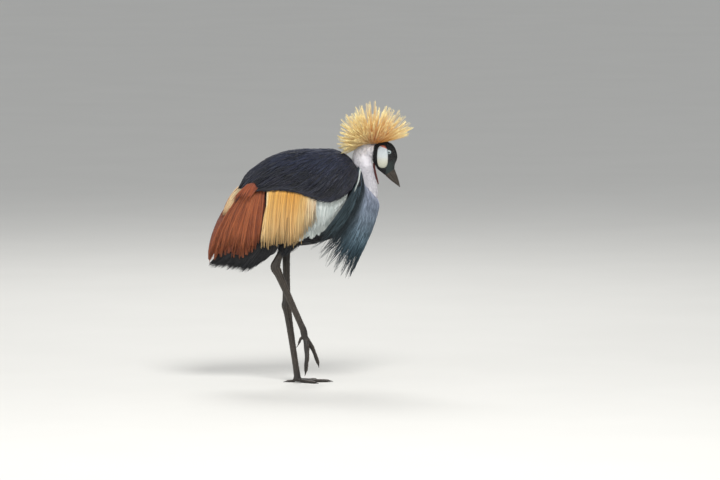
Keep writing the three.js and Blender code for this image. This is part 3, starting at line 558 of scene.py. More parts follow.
# %% [markdown]
# Both wings meet in a ridge over the tail. Threads of the rearmost feathers are spread across it from
# side to side, and they sink a little towards the middle, so the two curtains become one.

# %% The rear ridge
RIDGE_DROOP = 16


def over_ridge(batch, inner):
    """The same feathers, spread from each wing over the ridge as far in as the share called inner."""
    points, outward, half, section, colour = batch
    share = mix(inner, 1, chance.random(len(half)) ** 0.7) * chance.choice([-1, 1], len(half))
    spread = np.stack([1 + 0 * share, share, 1 + 0 * share], axis=1)
    droop = np.linspace(0, 1, half.shape[1]) ** 2 * (1 - abs(share))[:, None] * RIDGE_DROOP
    points = points * spread[:, None]
    points[..., 2] -= droop
    return points, unit(outward * [1, 0.5, 1] + [-1.6, 0, 1.2]), half, section, colour


u = scattered(240, 0, 0.02)
ridge = row(on_flank, u, SECONDARY_ROOTS, SECONDARY_TIPS, secondary_bow, half=1.6, height=12, section=STRAND,
            shape=strand_shape, rings=9, length=0.7 + 0.3 * chance.random(240), wave=2.0,
            colour=toned("#6e2a12", "#b8623a", chance.random(240)))
ridge_gold = row(on_flank, 20 * u[:150], STREAK_ROOTS, STREAK_TIPS, fixed(-9, 7), half=1.4, height=13,
                 section=STRAND, shape=strand_shape, rings=6, length=0.55 + 0.5 * chance.random(150),
                 wave=1.5, colour=toned("#f6dfae", "#c98a4a", chance.random(150) ** 2))
chestnut = coat("chestnut_feathers", both_sides([under, threads, streak, tuft])
                + [over_ridge(ridge, 0.0), over_ridge(ridge_gold, 0.35)], CHESTNUT)

# %% [markdown]
# ## Gold plumes
# Below the mantle the inner wing feathers have loose barbs that never hook together, so each plume falls
# apart into silky threads that hang like a fringe. Towards the front they pale and mingle with the
# white coverts, so their colour is a ramp along the row and the last of them grow sparse.

# %% Gold plumes
PLUME_ROOTS = line([(0, -84, 566), (0.5, -16, 562), (1, 58, 548)])
PLUME_TIPS = line([(0, -100, 394), (0.2, -76, 388), (0.62, -10, 389), (0.76, 10, 404), (0.88, 34, 440),
                   (1, 60, 464)])
gold_along = ramp([(0, "#f6dfae"), (0.05, "#ecbd6a"), (0.3, "#e4ae54"), (0.55, "#e0a548"), (0.74, "#e8bb6c"),
                   (0.86, "#efd9a8"), (1, "#e6e4d4")])
count = 2450
u = scattered(count) ** 1.12
pull, lock = into_locks(u, 44, 0.3, 0.88)
lock_length = chance.random(MOST_LOCKS)[lock]
threads = row(on_flank, u, PLUME_ROOTS, PLUME_TIPS, fixed(-7, 0), half=1.15,
              height=13 + 7 * chance.random(count), section=STRAND, shape=strand_shape, rings=7,
              length=0.8 + 0.15 * lock_length + 0.08 * chance.random(count), wave=2.2 + 5 * (u < 0.06),
              spread=pull,
              colour=gold_along(u)[:, None] * mix(0.62, 1.2, chance.random(count) ** 0.7)[:, None, None])
gold = coat("gold_feathers", both_sides([threads]), GOLD)

# %% [markdown]
# ## White coverts
# The front of the folded wing is covered with white feathers that lie close, each over the next like
# tiles. They are soft enough that the single edges hardly show, so the vanes are broad and overlap by
# three quarters, in tiers that get shorter towards the top.

# %% White coverts
COVERT_ROOTS = line([(0, 6, 562), (0.5, 80, 548), (1, 136, 566)])
COVERT_TIPS = line([(0, -6, 410), (0.4, 52, 424), (0.75, 96, 464), (1, 128, 516)])
tiers = []
for tier, (share, up) in enumerate([(1.0, 7.4), (0.8, 8.6), (0.6, 9.8), (0.4, 11.0)]):
    u = scattered(34) + 0.015 * tier
    tiers.append(row(on_flank, u, COVERT_ROOTS, COVERT_TIPS, fixed(8, 0), half=8,
                     height=up + 0.8 * chance.random(34), section=BROAD, shape=vane_shape, rings=9,
                     length=share * (0.95 + 0.08 * chance.random(34))))
u = scattered(900)
tiers.append(row(on_flank, u, COVERT_ROOTS, COVERT_TIPS, fixed(8, 0), half=1.2,
                 height=9 + 3 * chance.random(900), section=STRAND, shape=strand_shape, rings=7,
                 length=0.35 + 0.64 * chance.random(900), wave=1.0))
print("covert tiers:", len(tiers) - 1)

# %% [markdown]
# ## Black flight feathers and tail
# The long quills of the outer wing and the tail show only as a dark edge below the chestnut. They are
# the stiffest feathers on the bird, so they are broad, smooth vanes that sweep back side by side.

# %% Black quills
QUILL_ROOTS = line([(0, -128, 456), (1, -62, 412)])
QUILL_TIPS = line([(0, -251, 337), (0.2, -240, 331), (0.4, -214, 329), (0.6, -182, 322), (0.8, -146, 319),
                   (0.92, -104, 343), (1, -72, 370)])


def quill_bow(u):
    return 4 - 8 * (1 - u), -10 + 0 * u


u = np.linspace(0, 1, 17)
order = np.arange(17) % 4
quills = row(on_flank, u, QUILL_ROOTS, QUILL_TIPS, quill_bow, half=11, height=1.7 + 1.3 * order,
             section=BROAD, shape=lance_shape, rings=12, length=1 - 0.03 * order)
u = scattered(260)
loose = row(on_flank, u, QUILL_ROOTS, QUILL_TIPS, quill_bow, half=1.6, height=4 + 3 * chance.random(260),
            section=BLADE, shape=lance_shape, length=0.8 + 0.22 * chance.random(260))
print("quills on a wing:", len(quills[0]))

# %% [markdown]
# The tail hangs down behind in four layers of seven vanes. They lie on an arched sheet that follows one
# bent line of three points, and each layer is shorter and higher than the one below.

# %% Tail
TAIL_LINE = [(-140, 520), (-196, 470), (-226, 350)]
TAIL_LENGTH = 180
TAIL_FROM = 28
TAIL_LAYERS = [(178, -1), (158, 1.2), (136, 3.2), (112, 4.6)]


def on_tail(along, across, up):
    t = along / TAIL_LENGTH
    a, b, c = TAIL_LINE
    shares = [(1 - t) ** 2, 2 * t * (1 - t), t * t]
    x, z = (sum(w * p[k] for w, p in zip(shares, (a, b, c))) for k in (0, 1))
    dx, dz = (2 * (1 - t) * (b[k] - a[k]) + 2 * t * (c[k] - b[k]) for k in (0, 1))
    size = np.hypot(dx, dz)
    lift = 7 - 0.018 * across**2 + up
    return stack(x + dz / size * lift, across, z - dx / size * lift)


tail_rows = []
side = np.linspace(-1, 1, 7)[:, None]
step = 0.6 * (np.arange(7) % 2)[:, None]
t = np.linspace(0, 1, 10)[None, :]
for length, lift in TAIL_LAYERS:
    along = TAIL_FROM + (length - 9 * abs(side) - TAIL_FROM) * t
    points, outward = lay(on_tail, along, side * (9 + 9 * t), lift + step + 0 * along)
    tail_rows.append((points, outward, 6.5 * vane_shape(t) + 0 * along, BROAD, None))
black = coat("black_feathers", both_sides([quills, loose]) + tail_rows, BLACK)

# %% [markdown]
# ## The mantle
# The dark mantle falls over the back in long pointed feathers. Near the neck they drop almost straight
# over the shoulder and then sweep back, and towards the rump they run along the body. Each feather is
# placed by its tip, so that the tips fill the cloak evenly down to its lower edge.

# %% Mantle feathers
mantle_edge = through([(-182, 528), (-150, 552), (-88, 554), (-54, 556), (2, 548), (53, 528), (86, 521),
                       (108, 526), (137, 543), (160, 571), (174, 590)])
fall_angle = through([(-190, 34), (-100, 26), (-20, 38), (60, 52), (120, 68), (165, 84)])
# A feather's length on the back is turned into an angle round it by this radius.
BACK_RADIUS = 80
RUMP_DROP = 13


def edge_turn(x):
    middle, tall = middle_and_tall(x)
    return np.arccos(np.clip((mantle_edge(x) - middle) / (tall + 25), -0.4, 0.9))


def mantle_colour_with_painted_highlight(points):
    """Lighter blue towards the top of the back, a painted highlight where the light falls; browner in a few
    feathers lower down.
    """
    # Painted highlight: the colour grows lighter blue with height up the back, where the light falls.
    height = eased(points[..., 2], 560, 665)[..., None]
    brown = (chance.random(len(points)) < 0.22)[:, None, None]
    low = np.where(brown, paint("#2b2630"), paint("#0b0f1a"))
    return mix(low, paint("#2a3654"), height * mix(0.5, 1.0, chance.random(len(points)))[:, None, None])


def mantle_lift(turn):
    return mix(7.5, 19.5, np.clip(np.abs(turn) / 1.15, 0, 1))


def rump_lowered(points):
    """The cloak's rear end sinks on to the tail."""
    points[..., 2] -= RUMP_DROP * eased(-points[..., 0], 156, 178)
    return points


def mantle_feathers(apart_x, apart_turn, length, half, above, section, rings):
    """Feathers with their tips so far apart along and round the back."""
    x_tip, share = [], []
    for x in np.arange(-172, 176, apart_x):
        round_it = edge_turn(x) * (wing_half(x) + middle_and_tall(x)[1] + 30) / 2
        n = max(2, int(round_it / apart_turn))
        x_tip.append(x + (chance.random(n) - 0.5) * apart_x)
        share.append((np.arange(n) + 0.4 + 0.8 * (chance.random(n) - 0.5)) / (n - 0.6))
    x_tip, share = np.concatenate(x_tip), np.clip(np.concatenate(share), 0, 1.01)
    turn_tip = share * edge_turn(x_tip)
    fall = np.radians(fall_angle(x_tip)) * np.clip(turn_tip / 0.5, 0.0, 1)
    long = length * (0.85 + 0.3 * chance.random(x_tip.shape))
    x_root = np.minimum(x_tip + long * np.cos(fall), 180)
    turn_root = turn_tip - long * np.sin(fall) / BACK_RADIUS
    t = np.linspace(0, 1, rings)[None, :]
    x = mix(x_root[:, None], x_tip[:, None], t**1.5)
    turn = mix(turn_root[:, None], turn_tip[:, None], 1 - (1 - t) ** 1.6)
    up = mantle_lift(turn) + above + mix(-4, 3.0, t) + (1.6 * chance.random(x_tip.shape))[:, None]
    up = up + 5 * np.exp(-((x + 146) / 20) ** 2) * np.cos(turn).clip(0)
    points, outward = lay(on_back, x, turn, up)
    points = rump_lowered(points)
    return points, outward, half * lance_shape(t) + 0 * x, section, mantle_colour_with_painted_highlight(points)


# %% [markdown]
# The cloak's lower edge is crisp, because its last feathers lie along it. Two layers fill the rest: a
# broad one that hides the back, and a fine one that draws the streaks.

# %% The cloak
def mantle_edge_row(count, length, half):
    """The last feathers, which follow the cloak's lower edge instead of crossing it."""
    x_tip = scattered(count, -176, 158)
    fall = np.radians(0.35 * fall_angle(x_tip))
    t = np.linspace(0, 1, 11)[None, :]
    ahead = length * (0.8 + 0.4 * chance.random(count))
    x = x_tip[:, None] + (ahead * np.cos(fall))[:, None] * (1 - t)
    x = np.minimum(x, 176)
    inside = (ahead * np.sin(fall) / BACK_RADIUS)[:, None] * (1 - t) ** 1.4 + 0.03 * chance.random((count, 1))
    turn = edge_turn(x) - inside
    points, outward = lay(on_back, x, turn, mantle_lift(turn) + mix(-3, 4.0, t) + chance.random((count, 1)))
    points = rump_lowered(points)
    return points, outward, half * lance_shape(t) + 0 * x, BROAD, mantle_colour_with_painted_highlight(points)


cloak = [
    mantle_feathers(apart_x=10, apart_turn=12, length=118, half=6.0, above=0, section=BROAD, rings=10),
    mantle_feathers(apart_x=11, apart_turn=10, length=104, half=2.2, above=1.0, section=BLADE, rings=10),
    mantle_edge_row(count=150, length=108, half=4.6),
]
mantle = coat("mantle_feathers", both_sides(cloak), MANTLE_SLATE)

# %% [markdown]
# ## The cape of neck plumes
# From the base of the neck long narrow plumes hang round the breast like a cape. In front they are pale
# blue-grey and fall straight, and at the sides they are nearly black with pale edges and sweep back
# over the wing. The cape is a sheet of its own, drawn by six plume lines of seven stops, that hangs free
# of the body below the breast. A smooth sheet runs through all of its stops.

# %% The cape as a sheet
# Each line is one plume from its root to its tip, from the side of the neck round to the breast.
CAPE = np.array([
    [(178, 14, 628), (173, 34, 604), (163, 56, 566), (136, 79, 517), (104, 90, 473), (62, 93, 427),
     (8, 90, 408)],
    [(186, 20, 606), (186, 34, 572), (176, 56, 530), (154, 76, 482), (124, 88, 438), (92, 92, 400),
     (56, 88, 364)],
    [(193, 24, 572), (197, 35, 543), (192, 52, 505), (176, 68, 455), (150, 80, 405), (120, 84, 362),
     (96, 80, 326)],
    [(206, 25, 557), (213, 31, 531), (212, 42, 498), (198, 54, 448), (176, 60, 400), (150, 60, 350),
     (130, 54, 306)],
    [(220, 19, 541), (227, 20, 516), (225, 26, 486), (210, 32, 440), (190, 36, 395), (168, 36, 350),
     (146, 32, 300)],
    [(230, 3, 530), (232, 3, 508), (227, 3, 484), (213, 3, 440), (192, 3, 395), (172, 3, 355), (152, 3, 308)],
], float)


def spline(t, count):
    """The four stops nearest a share and how much each one counts."""
    f = np.clip(t, 0, 1) * (count - 1)
    i = np.minimum(f.astype(int), count - 2)
    f = f - i
    shares = [(-f + 2 * f**2 - f**3) / 2, (2 - 5 * f**2 + 3 * f**3) / 2, (f + 4 * f**2 - 3 * f**3) / 2,
              (f**3 - f**2) / 2]
    return [np.clip(i + k, 0, count - 1) for k in (-1, 0, 1, 2)], shares


def cape_point(u, s):
    (across, a_share), (down, d_share) = spline(u, len(CAPE)), spline(s, CAPE.shape[1])
    return sum(a_share[i][..., None] * d_share[j][..., None] * CAPE[across[i], down[j]]
               for i in range(4) for j in range(4))


def on_cape(u, s, up):
    u, s, up = np.broadcast_arrays(u, s, up)
    du = cape_point(u + 0.02, s) - cape_point(u - 0.02, s)
    ds = cape_point(u, s + 0.02) - cape_point(u, s - 0.02)
    return cape_point(u, s) + unit(np.cross(du, ds)) * up[..., None]


print("cape sheet:", len(CAPE), "lines of", CAPE.shape[1], "stops")

# %% [markdown]
# The cape's colours are ramps down the plume, one for the breast and one for the sides. Seven layers of
# plumes lie on the sheet: two short ones that cover it, and then locks that run together towards their
# tips and end in wisps below the breast. A few pale arcs stand out from the dark sides.

# %% The cape's plumes
breast_ramp = ramp([(0, "#b4b7c9"), (0.2, "#a9b2c6"), (0.42, "#96a5b6"), (0.56, "#708593"), (0.72, "#3c515c"),
                    (0.86, "#1e2e36"), (1, "#141f25")])
side_ramp = ramp([(0, "#111826"), (0.3, "#0b151b"), (0.7, "#091216"), (1, "#090f13")])


def cape_colour(u, s):
    return mix(side_ramp(s), breast_ramp(s), eased(u + 0.12 * (s - 0.4), 0.22, 0.44)[..., None])


def plumes(count, u_low, u_high, s_low, s_high, length, half, above, section, rings, locks=0, pull=0.0,
           tint=1.0):
    """Plumes rooted between shares u round the cape and shares s down it."""
    u = scattered(count, u_low, u_high)
    moved = into_locks(u, locks, 0.3, pull)[0] if locks else 0 * u
    start = mix(s_low, s_high, chance.random(count))
    long = length * (0.75 + 0.5 * chance.random(count))
    t = np.linspace(0, 1, rings)[None, :]
    s = start[:, None] + long[:, None] * t
    way = u[:, None] + moved[:, None] * t**1.5 + 0.006 * np.sin(5 * t + 50 * u[:, None])
    up = above + mix(-3, 2.5, t) + (1.5 * chance.random(count))[:, None]
    points, outward = lay(on_cape, way, s, up)
    colour = cape_colour(way, s) * tint * mix(0.75, 1.2, chance.random(count))[:, None, None]
    return points, outward, half * lance_shape(t) + 0 * s, section, colour


# The side plumes are so dark that a pale edge is this many times lighter in red, green and blue.
PALE_EDGE = np.array([20, 14, 12])
# Count, u from and to, s from and to, length, half width, lift, section, rings, locks, pull and tint.
cape = [
    plumes(1000, 0, 1, 0.0, 0.52, 0.19, 2.8, -1.5, BLADE, 6),
    plumes(1200, 0, 1, 0.0, 0.52, 0.22, 1.2, 0, STRAND, 6),
    plumes(330, 0, 1, 0.36, 0.47, 0.27, 1.8, -2, BLADE, 8, 15, 0.8),
    plumes(190, 0.05, 1, 0.46, 0.6, 0.36, 0.9, -2, BLADE, 9, 9, 1.0),
    plumes(110, 0.0, 0.17, 0.08, 0.58, 0.24, 0.75, 2.6, BLADE, 8, 36, 0.9, PALE_EDGE),
    plumes(70, 0.2, 0.4, 0.12, 0.4, 0.26, 0.8, 2.2, BLADE, 8, 36, 0.7, 1.6),
    plumes(220, 0.3, 1, 0.42, 0.62, 0.26, 0.9, 1.0, BLADE, 8, 13, 0.8, 1.7),
]
doubled = both_sides(cape)
hackles = {"right": coat("neck_plumes_right", doubled[len(cape):], HACKLE),
           "left": coat("neck_plumes_left", doubled[:len(cape)], HACKLE)}

# %% [markdown]
# At the shoulder a sliver of white shows between the mantle and the cape. It is a narrow row of strands
# on the cape's first line, joined to the white coverts because it has their finish.

# %% White feathers
sliver = plumes(46, 0.0, 0.035, 0.1, 0.15, 0.2, 1.3, 8.0, STRAND, 7)[:4] + (None,)
white = coat("white_feathers", both_sides(tiers + [sliver]), WHITE)

# %% [markdown]
# ## The neck as a surface
# The neck is a bent tube, and the head is built in directions of its own, forward along the bill and up
# through the crown, because the bird holds it turned down and everything on it follows that turn.

# %% The neck's and the head's surfaces
NECK = [
    (186, 462, 30, 24), (196, 488, 32, 25), (204, 520, 27, 23), (205, 548, 24, 24), (200, 578, 22.5, 23.5),
    (192, 608, 22.5, 24.5), (185, 634, 23, 26.5), (188, 654, 22, 25), (200, 666, 19, 20), (216, 667, 17, 17),
    (236, 662, 13, 13),
]
NECK_STOPS = [(i, *row_of) for i, row_of in enumerate(NECK)]
neck_x, neck_z, neck_wide, neck_deep = (through(NECK_STOPS, k) for k in (1, 2, 3, 4))


def on_neck(stop, turn, up):
    """The neck: how many stops along, how far turned from the throat, how far raised."""
    x, z = neck_x(stop), neck_z(stop)
    dx, dz = neck_x(stop + 0.05) - neck_x(stop - 0.05), neck_z(stop + 0.05) - neck_z(stop - 0.05)
    size = np.hypot(dx, dz)
    deep = (neck_deep(stop) + up) * np.cos(turn)
    return stack(x + dz / size * deep, (neck_wide(stop) + up) * np.sin(turn), z - dx / size * deep)


HEAD_AT = np.array([249.0, 0.0, 650.0])
PITCH = math.radians(55)
FORWARD = np.array([math.cos(PITCH), 0, -math.sin(PITCH)])
CROWN = np.array([math.sin(PITCH), 0, math.cos(PITCH)])
SKULL = [
    (-37, 8, -12, 8), (-32, 19, -22, 14), (-22, 29, -30, 19), (-10, 35, -34, 22), (2, 36, -36, 23),
    (13, 34, -37, 22.5), (22, 30, -37.5, 20), (30, 24, -36.5, 17), (37, 13, -34.5, 14), (44, 5, -32.5, 11.5),
    (50, 1.5, -31, 10),
]
skull_top, skull_bottom, skull_half = (through(SKULL, k) for k in (1, 2, 3))


def in_head(forward, side, up):
    """The head's own directions: forward along the bill, to the side, and up through the crown."""
    forward, side, up = np.broadcast_arrays(forward, side, up)
    sideways = side[..., None] * np.array([0, 1.0, 0])
    return HEAD_AT + forward[..., None] * FORWARD + up[..., None] * CROWN + sideways


def on_head(forward, turn, up):
    top, bottom = skull_top(forward), skull_bottom(forward)
    return in_head(forward, (skull_half(forward) + up) * np.sin(turn),
                   (top + bottom) / 2 + ((top - bottom) / 2 + up) * np.cos(turn))


def neck_chart(points):
    turn = np.arctan2(points[:, 1], points[:, 0] - 205)
    return np.stack([0.5 + turn / CHART_TURN, (points[:, 2] - 440) / 400], axis=1)


print("head: pitched down", round(math.degrees(PITCH)), "degrees")

# %% [markdown]
# Several finishes have to agree on where the face's markings lie, so each is a function of its own: the
# bare cheek, the ring round the eye, and the line behind which the pale neck begins.

# %% The face's markings
CHEEK = (243.6, 646.5, 15.2, 32.0)
CHEEK_SQUARENESS = 2.8
EYE_AT = in_head(-0.7, 15.6, 16.4)
EYE_RADIUS = 7.4


def cheek_share(points):
    """0 at the middle of the bare patch and 1 on its edge."""
    x, z, half, tall = CHEEK
    return (np.abs((points[..., 0] - x) / half) ** CHEEK_SQUARENESS
            + np.abs((points[..., 2] - z) / tall) ** CHEEK_SQUARENESS) ** (1 / CHEEK_SQUARENESS)


def from_eye(points):
    return np.hypot(points[..., 0] - EYE_AT[0], points[..., 2] - EYE_AT[2])


def is_pale_neck(points):
    """Behind the head and under the chin, where the velvet ends."""
    x, z = points[..., 0], points[..., 2]
    return (x < 218) | ((x < 226) & (z < 611))


print("bare cheek:", 2 * CHEEK[2], "by", 2 * CHEEK[3], "mm")

# %% [markdown]
# ## Small feathers, planted
# The neck, the head, the belly and the thighs carry thousands of feathers too short to bend. One small
# blade is made once, and Geometry Nodes plants it at every root: each root carries a direction to lie
# in, a direction to face and a size, and the nodes turn and stretch the blade to fit. Planting is done
# by nodes because the rule is the same everywhere and only the roots differ. The instances are
# realised at the end, so that what leaves Blender is plain mesh.

# %% The planting tree
def planting_tree(material):
    tree = bpy.data.node_groups.new(f"plant_{material.name}", "GeometryNodeTree")
    tree.interface.new_socket("Roots", in_out="INPUT", socket_type="NodeSocketGeometry")
    tree.interface.new_socket("Shape", in_out="INPUT", socket_type="NodeSocketObject")
    tree.interface.new_socket("Stretch", in_out="INPUT", socket_type="NodeSocketFloat")
    tree.interface.new_socket("Planted", in_out="OUTPUT", socket_type="NodeSocketGeometry")
    given = add(tree, "NodeGroupInput")
    shape = add(tree, "GeometryNodeObjectInfo", {"Object": given.outputs["Shape"]})
    lie, out, size = (add(tree, "GeometryNodeInputNamedAttribute", {"Name": name}, data_type="FLOAT_VECTOR")
                      for name in ("Lie", "Out", "Size"))
    facing = add(tree, "FunctionNodeAlignRotationToVector", {"Vector": out.outputs[0]}, axis="Z")
    turned = add(tree, "FunctionNodeAlignRotationToVector",
                 {"Rotation": facing.outputs[0], "Vector": lie.outputs[0]}, axis="X", pivot_axis="Z")
    scaled = add(tree, "ShaderNodeVectorMath", {0: size.outputs[0], "Scale": given.outputs["Stretch"]},
                 operation="SCALE")
    planted = add(tree, "GeometryNodeInstanceOnPoints", {
        "Points": given.outputs["Roots"], "Instance": shape.outputs["Geometry"],
        "Rotation": turned.outputs[0], "Scale": scaled.outputs[0]})
    real = add(tree, "GeometryNodeRealizeInstances", {"Geometry": planted.outputs[0]})
    done = add(tree, "GeometryNodeSetMaterial", {"Geometry": real.outputs[0], "Material": material})
    add(tree, "NodeGroupOutput", {"Planted": done.outputs[0]})
    return tree


# %% [markdown]
# A planted coat starts as bare points that carry the directions and the size. The modifier's inputs are
# set by their sockets' identifiers, and its result then gets the same maps and tones as the other coats.

# %% Planting a coat
def unit_blade(name, section, shape, rings, curl=0.0):
    """A blade one long and one in half width, lying along X and facing up, to be stretched where it grows."""
    t = np.linspace(0, 1, rings)
    points = stack(t, 0 * t, curl * 4 * t * (1 - t))[None]
    outward = np.broadcast_to(np.array([0, 0, 1.0]), points.shape)
    place, uv = blade_arrays(points, outward, shape(t)[None], section)
    blade = piece_of(name, place / MM, blade_faces(1, rings, len(section)), BODY_DOWN, {"Vane": uv})
    blade.hide_render = True
    return blade


def plant(name, shape, places, material, chart, colours=None):
    """places: roots, lie, out and size, each (n, 3), in millimetres where they are lengths."""
    roots, lie, out, size = places
    mesh = bpy.data.meshes.new(name)
    mesh.from_pydata((roots * MM).tolist(), [], [])
    for label, value in (("Lie", lie), ("Out", out), ("Size", size)):
        field = mesh.attributes.new(label, "FLOAT_VECTOR", "POINT")
        field.data.foreach_set("vector", value.astype(np.float32).reshape(-1))
    piece = placed(name, mesh)
    modifier = piece.modifiers.new("plant", "NODES")
    modifier.node_group = planting_tree(material)
    sockets = {item.name: item.identifier for item in modifier.node_group.interface.items_tree}
    modifier[sockets["Shape"]] = shape
    modifier[sockets["Stretch"]] = MM
    planted = applied(piece)
    each, corners = len(shape.data.vertices), len(shape.data.loops)
    vane = np.zeros(corners * 2, np.float32)
    shape.data.uv_layers["Vane"].uv.foreach_get("vector", vane)
    within = np.tile(PATCH * (vane.reshape(-1, 2) - 0.5), (len(roots), 1))
    bake = np.repeat(chart(roots), corners, axis=0) + within
    layer = planted.uv_layers.new(name="OFBake")
    layer.uv.foreach_set("vector", bake.astype(np.float32).reshape(-1))
    tint = planted.attributes.new("Tint", "FLOAT", "POINT")
    tint.data.foreach_set("value", np.repeat(chance.random(len(roots)), each).astype(np.float32))
    if colours is not None:
        set_marking(planted, np.repeat(colours, each, axis=0))
    smoothed(planted)
    print(f"{name}: {len(roots)} planted, {triangles(piece)} triangles")
    return piece


def rooted(sheet, a, b, da, db, length, half, up=-0.4, tilt=0.16):
    """Roots on a sheet, lying towards (da, db) and raised a little at the tip."""
    root, out = lay(sheet, a, b, up + 0 * a)
    ahead = unit(sheet(a + da, b + db, up + 0 * a) - root)
    lie = unit(ahead + tilt * out)
    size = np.stack(np.broadcast_arrays(length + 0 * a, half + 0 * a, half + 0 * a), axis=-1)
    return root, lie, unit(out - tilt * ahead), size * mix(0.8, 1.2, chance.random(len(root)))[:, None]


def kept(places, keep):
    return tuple(part[keep] for part in places)


SHORT_SECTION = [(-1, -0.12, 0), (0, 0.12, 0.06), (1, -0.12, 0), (0, -0.1, -0.06)]
short_blade = unit_blade("short_blade", SHORT_SECTION, lance_shape, 4)
print("one short feather:", triangles(short_blade), "triangles")

# %% [markdown]
# ## The neck
# The neck's feathers are short and soft, and lie so close that the neck looks like one velvet tube. They
# stop along a clear line above the breast, where the blue-grey plumes begin from under them.

# %% Neck feathers
NECK_FEATHER = 12


def collar(x):
    """The height of the line where the cape begins, which drops towards the breast."""
    return mix(551, 520, np.clip((x - 187) / 48, -0.5, 1.2))


neck_ramp = ramp([(520, "#e0dce3"), (560, "#e4e1e6"), (610, "#dedae2"), (650, "#e9e6ea"), (690, "#efebec")])
count = 7000
stop, turn = mix(2.0, 8.8, chance.random(count)), 2 * math.pi * chance.random(count)
places = rooted(on_neck, stop, turn, da=-0.3, db=0, length=14, half=1.3, up=-0.5, tilt=0.1)
root = places[0]
tip = root + places[1] * NECK_FEATHER
above_collar = tip[:, 2] > collar(tip[:, 0]) - 3
clear_of_mantle = (tip[:, 0] > 181) | (tip[:, 2] > 610)
clear_of_head = root[:, 0] < np.where(root[:, 2] > 612, 214, 236)
places = kept(places, above_collar & clear_of_mantle & clear_of_head)
neck_coat = plant("neck_feathers", short_blade, places, NECK_DOWN, neck_chart, neck_ramp(places[0][:, 2]))

# %% [markdown]
# ## The head's velvet
# Forehead, chin and the band behind the cheek wear the shortest feathers of all, jet black and so
# dense that they look like velvet. They leave the cheek and the ring round the eye bare.

# %% Velvet
LORES_FROM = 254
count = 9500
forward, turn = mix(-35, 47, chance.random(count)), 2 * math.pi * chance.random(count)
places = rooted(on_head, forward, turn, da=-1.0, db=0, length=5.5, half=0.75, up=-0.5, tilt=0.3)
root = places[0]
on_lores = (root[:, 0] > LORES_FROM) & (root[:, 2] < 652) & (root[:, 0] < 263 + 0.22 * (654 - root[:, 2]))
feathered = (cheek_share(root) > 1.02) & (from_eye(root) > 8) & ~is_pale_neck(root) & ~on_lores
head_coat = plant("head_feathers", short_blade, kept(places, feathered), VELVET, neck_chart)

# %% [markdown]
# ## Belly and thighs
# Under the wings and down the thighs the plumage is loose, dark and short. It is planted on the body's
# lower half and on the two thighs, which are tubes that narrow to the bare leg.

# %% Body feathers
def tube_rings(stops, sides=24):
    """Rings along stops of (x, y, z, half width, half depth)."""
    stops = np.array(stops, float)
    along = unit(np.gradient(stops[:, :3], axis=0))
    across = unit(np.array([0, 1.0, 0]) - along[:, 1:2] * along)
    deep = np.cross(along, across)
    a = np.linspace(0, 2 * math.pi, sides, endpoint=False)
    return (stops[:, None, :3] + stops[:, 3, None, None] * np.cos(a)[None, :, None] * across[:, None]
            + stops[:, 4, None, None] * np.sin(a)[None, :, None] * deep[:, None])


def tube_sheet(stops):
    """The same tube as a sheet: how far along it, how far round it, and how high above it."""
    stops = np.array(stops, float)
    curves = [through([(i, row[k]) for i, row in enumerate(stops)]) for k in range(5)]

    def sheet(stop, turn, up):
        x, y, z, wide, deep = (curve(stop) for curve in curves)
        step = stack(*(curve(stop + 0.05) - curve(stop - 0.05) for curve in curves[:3]))
        along = unit(step)
        across = unit(np.array([0, 1.0, 0]) - along[..., 1:2] * along)
        inward = np.cross(along, across)
        return (stack(x, y, z) + across * ((wide + up) * np.cos(turn))[..., None]
                + inward * ((deep + up) * np.sin(turn))[..., None])
    return sheet


# Stops down each thigh: x, y, z, half width and half depth.
THIGHS = {
    "left": [(-6, 33, 446, 20, 36), (-8, 33, 440, 20, 34), (-17, 31, 418, 20, 31), (-25, 29, 398, 16, 20),
             (-31, 28, 382, 9, 11)],
    "right": [(-4, -34, 446, 20, 36), (-6, -34, 440, 20, 34), (-18, -35, 417, 20, 31),
              (-29, -36, 397, 16, 20), (-39, -37, 380, 9, 11)],
}
BELLY_TURN = 1.35
on_belly, on_thigh = 4000, 700
x = mix(-160, 205, chance.random(on_belly))
turn = mix(BELLY_TURN, 2 * math.pi - BELLY_TURN, chance.random(on_belly))
parts = [rooted(on_body, x, turn, da=-6.0, db=0, length=28, half=3.8, up=-1, tilt=0.12)]
for stops in THIGHS.values():
    stop, turn = mix(0.4, 3.9, chance.random(on_thigh)), 2 * math.pi * chance.random(on_thigh)
    parts.append(rooted(tube_sheet(stops), stop, turn, da=0.2, db=0, length=17, half=2.2, up=-1, tilt=0.12))
places = tuple(np.concatenate(group) for group in zip(*parts))
body_coat = plant("body_feathers", short_blade, places, BODY_DOWN, body_chart)

# %% [markdown]
# ## The crest
# The crown of stiff golden bristles is what the bird is named for. The bristles stand in small tufts,
# spread over a dome by the golden angle, which never lines two of them up. The dome leans back as the
# head bends down. Each bristle is one three-sided spine with a slight wave, made once and planted.

# %% Crest bristles
CREST_PAD = np.array([215.0, 0.0, 681.0])
LEAN, OPEN = math.radians(110), math.radians(96)
GOLDEN_ANGLE = math.pi * (3 - math.sqrt(5))
BRISTLE_HALF, BRISTLE_WAVE = 0.62, 4
BRISTLE = [(-1, 0, -0.4), (0, 0, 0.9), (1, 0, -0.4)]
tufts, each, short = 230, 4, 320
count = tufts * each
i = np.concatenate([np.repeat(np.arange(tufts), each), tufts * chance.random(short)])
near = 0.008 * chance.normal(size=(2, count + short))
opened = OPEN * np.sqrt((i + 0.5) / tufts) + near[0]
around = i * GOLDEN_ANGLE + near[1]
opened = opened * mix(1, 0.72, np.sin(around) ** 2)
main = np.array([math.cos(LEAN), 0, math.sin(LEAN)])
fore = np.array([math.sin(LEAN), 0, -math.cos(LEAN)])
way = (np.cos(opened)[:, None] * main + (np.sin(opened) * np.cos(around))[:, None] * fore
       + (np.sin(opened) * np.sin(around))[:, None] * np.array([0, 1.0, 0]))
share = np.concatenate([np.repeat(0.8 + 0.22 * chance.random(tufts), each),
                        mix(0.5, 0.8, chance.random(short))])
